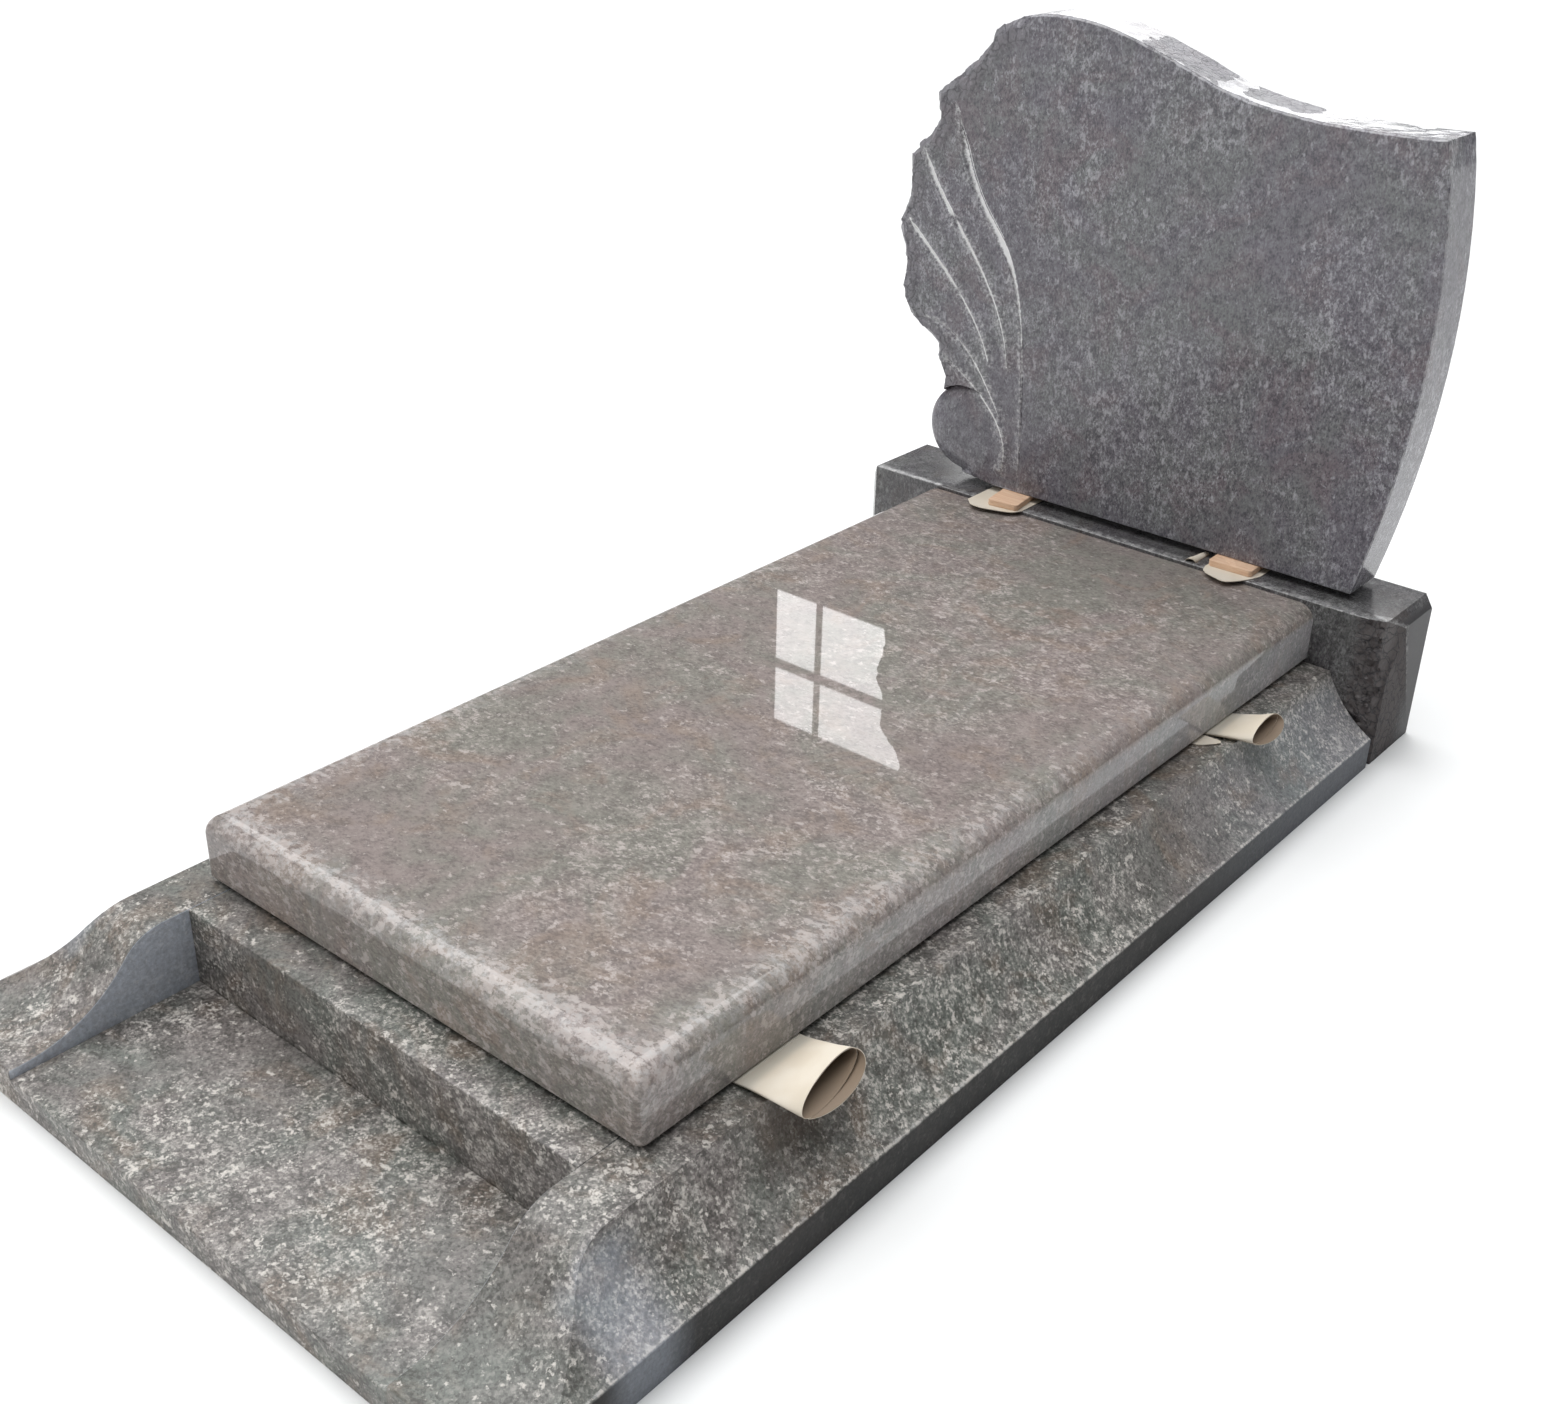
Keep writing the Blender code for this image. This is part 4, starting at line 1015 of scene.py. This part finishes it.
def timber_mesh(name, width, depth, turn):
    """Sawn block with worn corners, turned on its bed, in the middle of its solid's box."""
    low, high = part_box(name)
    corners = [(-width / 2 + BLOCK_CORNER, -depth / 2), (width / 2 - BLOCK_CORNER, -depth / 2),
               (width / 2, -depth / 2 + BLOCK_CORNER), (width / 2, depth / 2),
               (-width / 2, depth / 2), (-width / 2, -depth / 2 + BLOCK_CORNER)]
    outline = []
    for start, end in zip(corners, corners[1:] + corners[:1]):
        steps = max(2, round((Vector(end) - Vector(start)).length / BLOCK_STEP))
        outline += [Vector(start).lerp(Vector(end), step / steps) for step in range(steps)]
    spin = Matrix.Rotation(math.radians(turn), 2)
    levels = [(0.0, BLOCK_WEAR), *[(share, 0.0) for share in spaced(0.07, 0.93, 6)], (1.0, BLOCK_WEAR)]
    rings = []
    for rise, inset in levels:
        ring = []
        for spot in outline:
            rough = 0.5 + noise.noise(Vector((spot.x * 300.0, spot.y * 300.0, rise * 9.0)))
            inward = inset + BLOCK_ROUGHNESS * clamp(rough)
            moved = spin @ (spot - spot.normalized() * inward)
            ring.append(((low.x + high.x) / 2 + moved.x, (low.y + high.y) / 2 + moved.y,
                         mix(low.z, high.z, rise)))
        rings.append(ring)
    return loft(name, rings, 50.0)


def card_mesh(name, cut, block_front):
    """Card under a block: its cut front lies free and lifts a little."""
    low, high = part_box(name)
    left = cut[0][0]
    edge = high.y - CARD_BEARING
    front = rounded_outline([(low.x + across - left, edge - shown) for across, shown in cut])
    outline = [(front[0][0], high.y), *front, (front[-1][0], high.y)]

    def height(x, y):
        free = max(0.0, edge - block_front - 0.004 - y)
        wave = 0.5 + 0.5 * noise.noise(Vector((x * 45.0, y * 45.0, 2.0)))
        return low.z + CARD_LIFT * (free / CARD_FREE) ** 1.6 * (0.4 + 0.6 * wave)

    return sheet_mesh(name, outline, height)


def flap_mesh():
    """Scrap of card between the slab and the kerb, whose free tip lifts."""
    low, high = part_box("slab_card_flap")
    slab_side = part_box("ledger_slab")[1].x
    left, top = min(x for x, _ in FLAP_OUTLINE), max(y for _, y in FLAP_OUTLINE)
    corners = [(low.x + x - left, high.y + y - top) for x, y in FLAP_OUTLINE]
    outline = rounded_outline([*corners, corners[0]])[:-1]

    def height(x, _):
        return low.z + FLAP_LIFT * max(0.0, (x - slab_side) / (high.x - slab_side)) ** 1.5

    return sheet_mesh("slab_card_flap", outline, height)


def scrap_mesh():
    """Curled scrap of card: a low tunnel that is open at its front end."""
    low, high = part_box("headstone_card_scrap")
    name = "headstone_card_scrap"
    under, over = [], []
    for along in spaced(0.0, 1.0, SCRAP_STEPS):
        width = SCRAP_HALF_WIDTH * mix(1.0, 0.65, along)
        middle = mix(low.x + SCRAP_HALF_WIDTH, high.x - SCRAP_HALF_WIDTH, along)
        arch = SCRAP_ARCH * mix(1.0, 0.55, along) * (1.0 + 0.12 * math.sin(9.0 * along))
        for across in spaced(-1.0, 1.0, SCRAP_STEPS):
            rise = arch * math.sqrt(max(0.0, 1.0 - (0.94 * across) ** 2)) - 0.34 * arch
            x = middle + width * across * (1.0 + 0.05 * math.sin(5.0 * along + across))
            y = mix(low.y, high.y, along) + 0.004 * across * (1.0 - along)
            under.append((x, max(y, low.y), low.z + max(rise, 0.0)))
            over.append((x, max(y, low.y), low.z + max(rise, 0.0) + CARD_THICKNESS))
    side = SCRAP_STEPS + 1
    count = side * side
    faces = []
    for row in range(SCRAP_STEPS):
        for column in range(SCRAP_STEPS):
            first = row * side + column
            quad = (first, first + 1, first + side + 1, first + side)
            faces.append(tuple(reversed(quad)))
            faces.append(tuple(index + count for index in quad))
    border = list(range(side))
    border += [row * side + side - 1 for row in range(1, side)]
    border += [count - 2 - column for column in range(side - 1)]
    border += [row * side for row in range(side - 2, 0, -1)]
    for start, end in zip(border, border[1:] + border[:1]):
        faces.append((start, end, end + count, start + count))
    mesh = finish_mesh(name, under + over, faces, 50.0)
    # Underside: the card's brown back, painted dark as painted shade under the curl
    add_values(mesh, "inside", [1.0] * count + [0.0] * count)
    return mesh


# Materials

def add_node(tree, kind, inputs=None, **settings):
    """Node with its settings, whose inputs are values or linked sockets."""
    made = tree.nodes.new(kind)
    for name, value in settings.items():
        setattr(made, name, value)
    for name, value in (inputs or {}).items():
        if isinstance(value, bpy.types.NodeSocket):
            tree.links.new(value, made.inputs[name])
        else:
            made.inputs[name].default_value = value
    return made


def calculate(tree, operation, first, second=0.0, third=0.0):
    values = {0: first, 1: second, 2: third}
    return add_node(tree, "ShaderNodeMath", values, operation=operation).outputs[0]


def times(tree, first, second):
    return calculate(tree, "MULTIPLY", first, second)


def times_plus(tree, first, second, added):
    return calculate(tree, "MULTIPLY_ADD", first, second, added)


def point_value(tree, name):
    """Number that the mesh holds at every point, or 0 where it holds none."""
    return add_node(tree, "ShaderNodeAttribute", attribute_name=name).outputs["Fac"]


def with_alpha(colour):
    return (*colour, 1.0) if isinstance(colour, tuple) else colour


def blend(tree, share, first, second):
    """Colour between two colours or colour sockets."""
    inputs = {0: share, 6: with_alpha(first), 7: with_alpha(second)}
    return add_node(tree, "ShaderNodeMix", inputs, data_type="RGBA").outputs[2]


def ramp(tree, value, low, high, start=0.0, end=1.0):
    """Smooth step from start to end while value goes from low to high."""
    inputs = {0: value, 1: low, 2: high, 3: start, 4: end}
    return add_node(tree, "ShaderNodeMapRange", inputs, interpolation_type="SMOOTHSTEP").outputs[0]


def cloud(tree, place, scale, detail=2.0, roughness=0.5, distortion=0.0):
    inputs = {"Vector": place, "Scale": scale, "Detail": detail,
              "Roughness": roughness, "Distortion": distortion}
    return add_node(tree, "ShaderNodeTexNoise", inputs).outputs["Fac"]


def crystals(tree, place, scale):
    """Random numbers, the same all over each crystal."""
    cells = add_node(tree, "ShaderNodeTexVoronoi", {"Vector": place, "Scale": scale})
    return add_node(tree, "ShaderNodeSeparateColor", {0: cells.outputs["Color"]}).outputs


def warped_place(tree, place, scale, amount):
    """Place that is shifted by a slow noise, so that cells get uneven borders."""
    shift = add_node(tree, "ShaderNodeTexNoise", {"Vector": place, "Scale": scale, "Detail": 2.0})
    centred = add_node(tree, "ShaderNodeVectorMath", {0: shift.outputs["Color"], 1: (0.5, 0.5, 0.5)},
                       operation="SUBTRACT")
    scaled = add_node(tree, "ShaderNodeVectorMath", {0: centred.outputs[0], "Scale": amount},
                      operation="SCALE")
    return add_node(tree, "ShaderNodeVectorMath", {0: place, 1: scaled.outputs[0]}).outputs[0]


def start_finish(name):
    """New material, its tree, and the place that its patterns follow."""
    finish = bpy.data.materials.new(name)
    finish.use_nodes = True
    tree = finish.node_tree
    return finish, tree, add_node(tree, "ShaderNodeTexCoord").outputs["Object"]


def link_shader(tree, colour, roughness, height, strength, distance):
    """Links colour, roughness and fine relief to the material's shader."""
    shader = tree.nodes["Principled BSDF"]
    bump = add_node(tree, "ShaderNodeBump",
                    {"Height": height, "Strength": strength, "Distance": distance})
    tree.links.new(colour, shader.inputs["Base Color"])
    tree.links.new(roughness, shader.inputs["Roughness"])
    tree.links.new(bump.outputs[0], shader.inputs["Normal"])


def granite_grain(tree, place, stone, arris):
    """Bare stone with soft grain and clusters of flecks, and the noises in it."""
    drawn = add_node(tree, "ShaderNodeMapping", {
        "Vector": place, "Rotation": (0.0, 0.0, -math.radians(stone.turn)), "Scale": stone.stretch})
    bent = warped_place(tree, drawn.outputs[0], 140.0, 0.0022)
    crystal = crystals(tree, bent, stone.grain)
    fine = cloud(tree, bent, stone.grain * 0.55, 5.0, 0.75)
    mottle = cloud(tree, place, stone.grain * 0.11, 9.0, 0.73)
    patches = cloud(tree, place, 5.5, 4.0, 0.62, 0.8)
    warmth = cloud(tree, place, 9.0, 4.0, 0.60, 1.2)
    clusters = cloud(tree, place, 24.0, 6.0, 0.68)
    busy = ramp(tree, cloud(tree, place, 3.4, 3.0, 0.6, 0.6), 0.36, 0.62, 0.35, 1.25)
    tone = times_plus(tree, mottle, 0.45, times(tree, fine, 0.43))
    tone = times_plus(tree, crystal[0], 0.12, tone)
    colour = blend(tree, ramp(tree, patches, 0.38, 0.64), stone.body, stone.tint)
    colour = blend(tree, ramp(tree, warmth, 0.48, 0.68, 0.0, 0.85), colour, stone.warm)
    colour = blend(tree, ramp(tree, tone, 0.52, 0.39, 0.0, stone.dark_share), colour, stone.dark)
    light = times(tree, busy, ramp(tree, tone, 0.49, 0.64, 0.0, stone.light_share))
    colour = blend(tree, light, colour, stone.light)
    rise = times_plus(tree, clusters, 1.50, times(tree, crystal[1], 0.7))
    fleck = times(tree, ramp(tree, times_plus(tree, fine, 0.9, rise), 1.86, 2.10), busy)
    # More light flecks along the arrises, as a painted highlight
    lumps = times_plus(tree, arris, 0.15, cloud(tree, bent, 95.0, 5.0, 0.68))
    lumps = ramp(tree, times_plus(tree, busy, 0.05, lumps), 0.61, 0.70)
    for spots in (fleck, lumps):
        colour = blend(tree, times(tree, spots, stone.fleck_share), colour, stone.light)
    return colour, fine, clusters, light


def granite_marks(tree, place, colour, arris, fine, clusters):
    """Painted shade below the roll, painted sky reflection on bluish faces, and painted highlights on the
    arrises, over a stone's colour.
    """
    # Painted shade below the roll, broken up by the clusters
    stain_and_shade = times(tree, point_value(tree, "stain_and_shade"), ramp(tree, clusters, 0.30, 0.60, 0.35, 0.85))
    colour = blend(tree, stain_and_shade, colour, PAINTED_SHADE_COLOUR)
    # Painted sky reflection, broken up by the grain
    painted_reflection = times(tree, point_value(tree, "painted_reflection"), times_plus(tree, fine, 0.9, 0.2))
    colour = blend(tree, painted_reflection, colour, PAINTED_REFLECTION_COLOUR)
    # Painted highlight in specks along the arrises
    highlight_specks = ramp(tree, cloud(tree, place, 70.0, 6.0, 0.80), 0.44, 0.66)
    return blend(tree, times(tree, arris, highlight_specks), colour, PAINTED_ARRIS_HIGHLIGHT)


def granite(name, stone):
    """Speckled granite, which is sawn, broken or cut where its mesh says so; sawn faces are also painted
    darker, as painted shade.
    """
    finish, tree, place = start_finish(name)
    arris = point_value(tree, "arris")
    colour, fine, clusters, light = granite_grain(tree, place, stone, arris)
    # Sawn faces, painted darker as painted shade
    sawn = point_value(tree, "sawn")
    colour = blend(tree, times(tree, sawn, stone.sawn_share), colour, stone.sawn)
    colour = granite_marks(tree, place, colour, arris, fine, clusters)
    ragged = cloud(tree, place, 160.0, 3.0, 0.7)
    raw = ramp(tree, times_plus(tree, ragged, 0.5, point_value(tree, "raw")), 0.45, 0.85)
    cut = ramp(tree, times_plus(tree, ragged, 0.5, point_value(tree, "cut")), 0.55, 0.85)
    torn = warped_place(tree, place, 45.0, 0.022)
    cells = add_node(tree, "ShaderNodeTexVoronoi", {"Vector": torn, "Scale": 60.0},
                     feature="DISTANCE_TO_EDGE").outputs["Distance"]
    cracks = ramp(tree, times_plus(tree, fine, 0.12, cells), 0.04, 0.16)
    pale = blend(tree, cracks, stone.dark, blend(tree, fine, stone.raw, stone.body))
    colour = blend(tree, times(tree, raw, stone.raw_share), colour, pale)
    colour = blend(tree, cut, colour, CUT_COLOUR)
    smudge = cloud(tree, place, 7.0, 4.0, 0.6)
    gloss = times_plus(tree, smudge, 0.6 * stone.roughness, 0.7 * stone.roughness)
    open_grain = calculate(tree, "MAXIMUM", raw, cut)
    for share, amount in ((light, 0.2 * stone.roughness), (open_grain, 0.30), (sawn, 0.35)):
        gloss = times_plus(tree, share, amount, gloss)
    height = times_plus(tree, open_grain, ragged, times(tree, fine, stone.relief))
    link_shader(tree, colour, gloss, times_plus(tree, raw, cracks, height), 0.6, 0.002)
    return finish


def pine():
    """Sawn wood with its rings and fibres along X."""
    finish, tree, place = start_finish("pine")
    along = add_node(tree, "ShaderNodeMapping", {"Vector": place, "Scale": (12.0, 160.0, 160.0)})
    rings = cloud(tree, along.outputs[0], 1.6, 4.0, 0.6, 0.6)
    fibre = cloud(tree, along.outputs[0], 6.0, 3.0)
    colour = blend(tree, ramp(tree, rings, 0.35, 0.65), (0.84, 0.58, 0.40), (0.72, 0.43, 0.26))
    colour = blend(tree, times(tree, fibre, 0.35), colour, (0.90, 0.70, 0.54))
    link_shader(tree, colour, times_plus(tree, fibre, 0.2, 0.55), fibre, 0.4, 0.0006)
    return finish


def card():
    """Cream card, which is brown and painted darker inside a roll, as its own brown back and painted
    shade in the hollow, and dim below the slab as painted shade.
    """
    finish, tree, place = start_finish("card")
    fibre = cloud(tree, place, 700.0, 3.0, 0.6)
    # Stains of the card itself, darker in clouds
    stain_and_shade = ramp(tree, cloud(tree, place, 22.0, 2.0), 0.4, 0.7, 0.0, 0.6)
    colour = blend(tree, stain_and_shade, (0.78, 0.71, 0.60), (0.68, 0.59, 0.46))
    for share, amount, shade in ((fibre, 0.25, (0.60, 0.52, 0.41)),
                                 (point_value(tree, "inside"), 0.88, (0.17, 0.11, 0.065)),
                                 (point_value(tree, "shade"), 0.6, (0.46, 0.44, 0.38))):
        colour = blend(tree, times(tree, share, amount), colour, shade)
    link_shader(tree, colour, times_plus(tree, fibre, 0.15, 0.60), fibre, 0.3, 0.0003)
    return finish


# Studio

def add_camera():
    """Camera at its place, turned by azimuth, elevation and roll."""
    azimuth = math.radians(CAMERA_AZIMUTH)
    elevation = math.radians(CAMERA_ELEVATION)
    back = Vector((math.sin(azimuth) * math.cos(elevation),
                   -math.cos(azimuth) * math.cos(elevation), math.sin(elevation)))
    right = Vector((0.0, 0.0, 1.0)).cross(back).normalized()
    up = back.cross(right)
    roll = Matrix.Rotation(CAMERA_ROLL, 3, back)
    turn = Matrix((roll @ right, roll @ up, back)).transposed().to_4x4()
    camera = bpy.data.cameras.new("camera")
    camera.sensor_width = SENSOR_WIDTH
    camera.lens = SENSOR_WIDTH * FOCAL_PIXELS / FRAME_WIDTH
    item = add_object("camera", camera)
    item.matrix_world = Matrix.Translation(CAMERA_PLACE) @ turn
    bpy.context.scene.camera = item


def add_area_light(name, place, facing, size, radiance):
    """Flat bright panel that the camera does not see itself."""
    light = bpy.data.lights.new(name, "AREA")
    light.shape = "RECTANGLE"
    light.size, light.size_y = size
    light.energy = radiance * math.pi * size[0] * size[1]
    item = add_object(name, light)
    item.location = place
    item.rotation_euler = Vector(facing).to_track_quat("-Z", "Y").to_euler()
    item.visible_camera = False


def add_sun(name, side, strength, angle):
    """Far light that comes from a side, and is as soft as its angle is wide."""
    light = bpy.data.lights.new(name, "SUN")
    light.energy = strength
    light.angle = math.radians(angle)
    item = add_object(name, light)
    item.rotation_euler = Vector(side).to_track_quat("Z", "Y").to_euler()


def add_lights():
    """Sky that is bright above and on one side, two soft suns, window and wall."""
    world = bpy.data.worlds.new("studio")
    world.use_nodes = True
    tree = world.node_tree
    sky = tree.nodes["Background"]
    sky.inputs["Color"].default_value = (*WORLD_COLOUR, 1.0)
    direction = add_node(tree, "ShaderNodeTexCoord").outputs["Generated"]
    up = add_node(tree, "ShaderNodeSeparateXYZ", {0: direction}).outputs["Z"]
    side = add_node(tree, "ShaderNodeVectorMath", {0: direction, 1: WORLD_BRIGHT_SIDE},
                    operation="DOT_PRODUCT").outputs["Value"]
    tree.links.new(calculate(tree, "ADD", ramp(tree, up, *WORLD_RISE, 0.0, WORLD_ZENITH),
                             ramp(tree, side, -0.5, 0.5, *WORLD_HORIZON)), sky.inputs["Strength"])
    bpy.context.scene.world = world
    for name, side, strength, angle in SOFT_SUNS:
        add_sun(name, side, strength, angle)
    for left, right in WINDOW_COLUMNS:
        for low, high in WINDOW_ROWS:
            add_area_light("window_pane", ((left + right) / 2, WINDOW_Y, (low + high) / 2),
                           (0.0, -1.0, 0.0), (right - left, high - low), WINDOW_RADIANCE)
    for (left, right), (low, high) in WALL_PANELS:
        add_area_light("wall_light", ((left + right) / 2, WINDOW_Y + 0.05, (low + high) / 2),
                       (0.0, -1.0, 0.0), (right - left, high - low), WALL_RADIANCE)


def add_floor():
    half = FLOOR_SIZE / 2
    corners = [(-half, -half, 0.0), (half, -half, 0.0), (half, half, 0.0), (-half, half, 0.0)]
    mesh = bpy.data.meshes.new("floor")
    mesh.from_pydata(corners, [], [(0, 1, 2, 3)])
    finish = bpy.data.materials.new("floor")
    finish.use_nodes = True
    shader = finish.node_tree.nodes["Principled BSDF"]
    shader.inputs["Base Color"].default_value = (*FLOOR_COLOUR, 1.0)
    shader.inputs["Roughness"].default_value = 0.9
    shader.inputs["Specular IOR Level"].default_value = 0.1
    mesh.materials.append(finish)
    floor = add_object("floor", mesh)
    floor.location.z = -FLOOR_DROP


# Monument

def dress_stones(polished, dark, shaded, honed):
    add_piece("slab", slab_mesh(), "ledger_slab", polished)
    for name, side in (("kerb_left", -1), ("kerb_right", 1)):
        add_piece(name + "_stone", kerb_mesh(name, side), name, honed)
    for name in ("foot_riser", "foot_apron"):
        add_piece(name + "_stone", block_mesh(name, *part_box(name)), name, honed)
    add_piece("plinth_stone", plinth_mesh(), "plinth", shaded)
    add_piece("headstone_stone", headstone_mesh(), "headstone", dark)


def dress_packing(wood, paper):
    low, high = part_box("ledger_slab")
    foot_y = low.y + FOOT_ROLL_PLACE
    head_y = high.y + JOINT - HEAD_ROLL_PLACE
    for end, roll, side, middle in (("right_foot", FOOT_ROLL, 1, foot_y),
                                    ("right_head", HEAD_ROLL, 1, head_y),
                                    ("left_foot", LEFT_FOOT_ROLL, -1, foot_y),
                                    ("left_head", LEFT_HEAD_ROLL, -1, head_y)):
        node = "slab_roll_" + end
        add_piece(node + "_card", roll_mesh(node, roll, side, middle), node, paper)
    for side, (width, shown, turn) in BLOCKS.items():
        node = "headstone_block_" + side
        add_piece(node + "_wood", timber_mesh(node, width, shown + BLOCK_BEARING, turn),
                  node, wood)
        node = "headstone_card_" + side
        add_piece(node + "_sheet", card_mesh(node, CARD_CUTS[side], shown), node, paper)
    add_piece("scrap_sheet", scrap_mesh(), "headstone_card_scrap", paper)
    add_piece("flap_sheet", flap_mesh(), "slab_card_flap", paper)


noise.seed_set(FACET_SEED)
bpy.context.scene.view_settings.view_transform = "Standard"
add_camera()
add_lights()
add_floor()
dress_stones(granite("slab_granite", POLISHED), granite("headstone_granite", DARK),
             granite("plinth_granite", SHADED), granite("kerb_granite", HONED))
dress_packing(pine(), card())
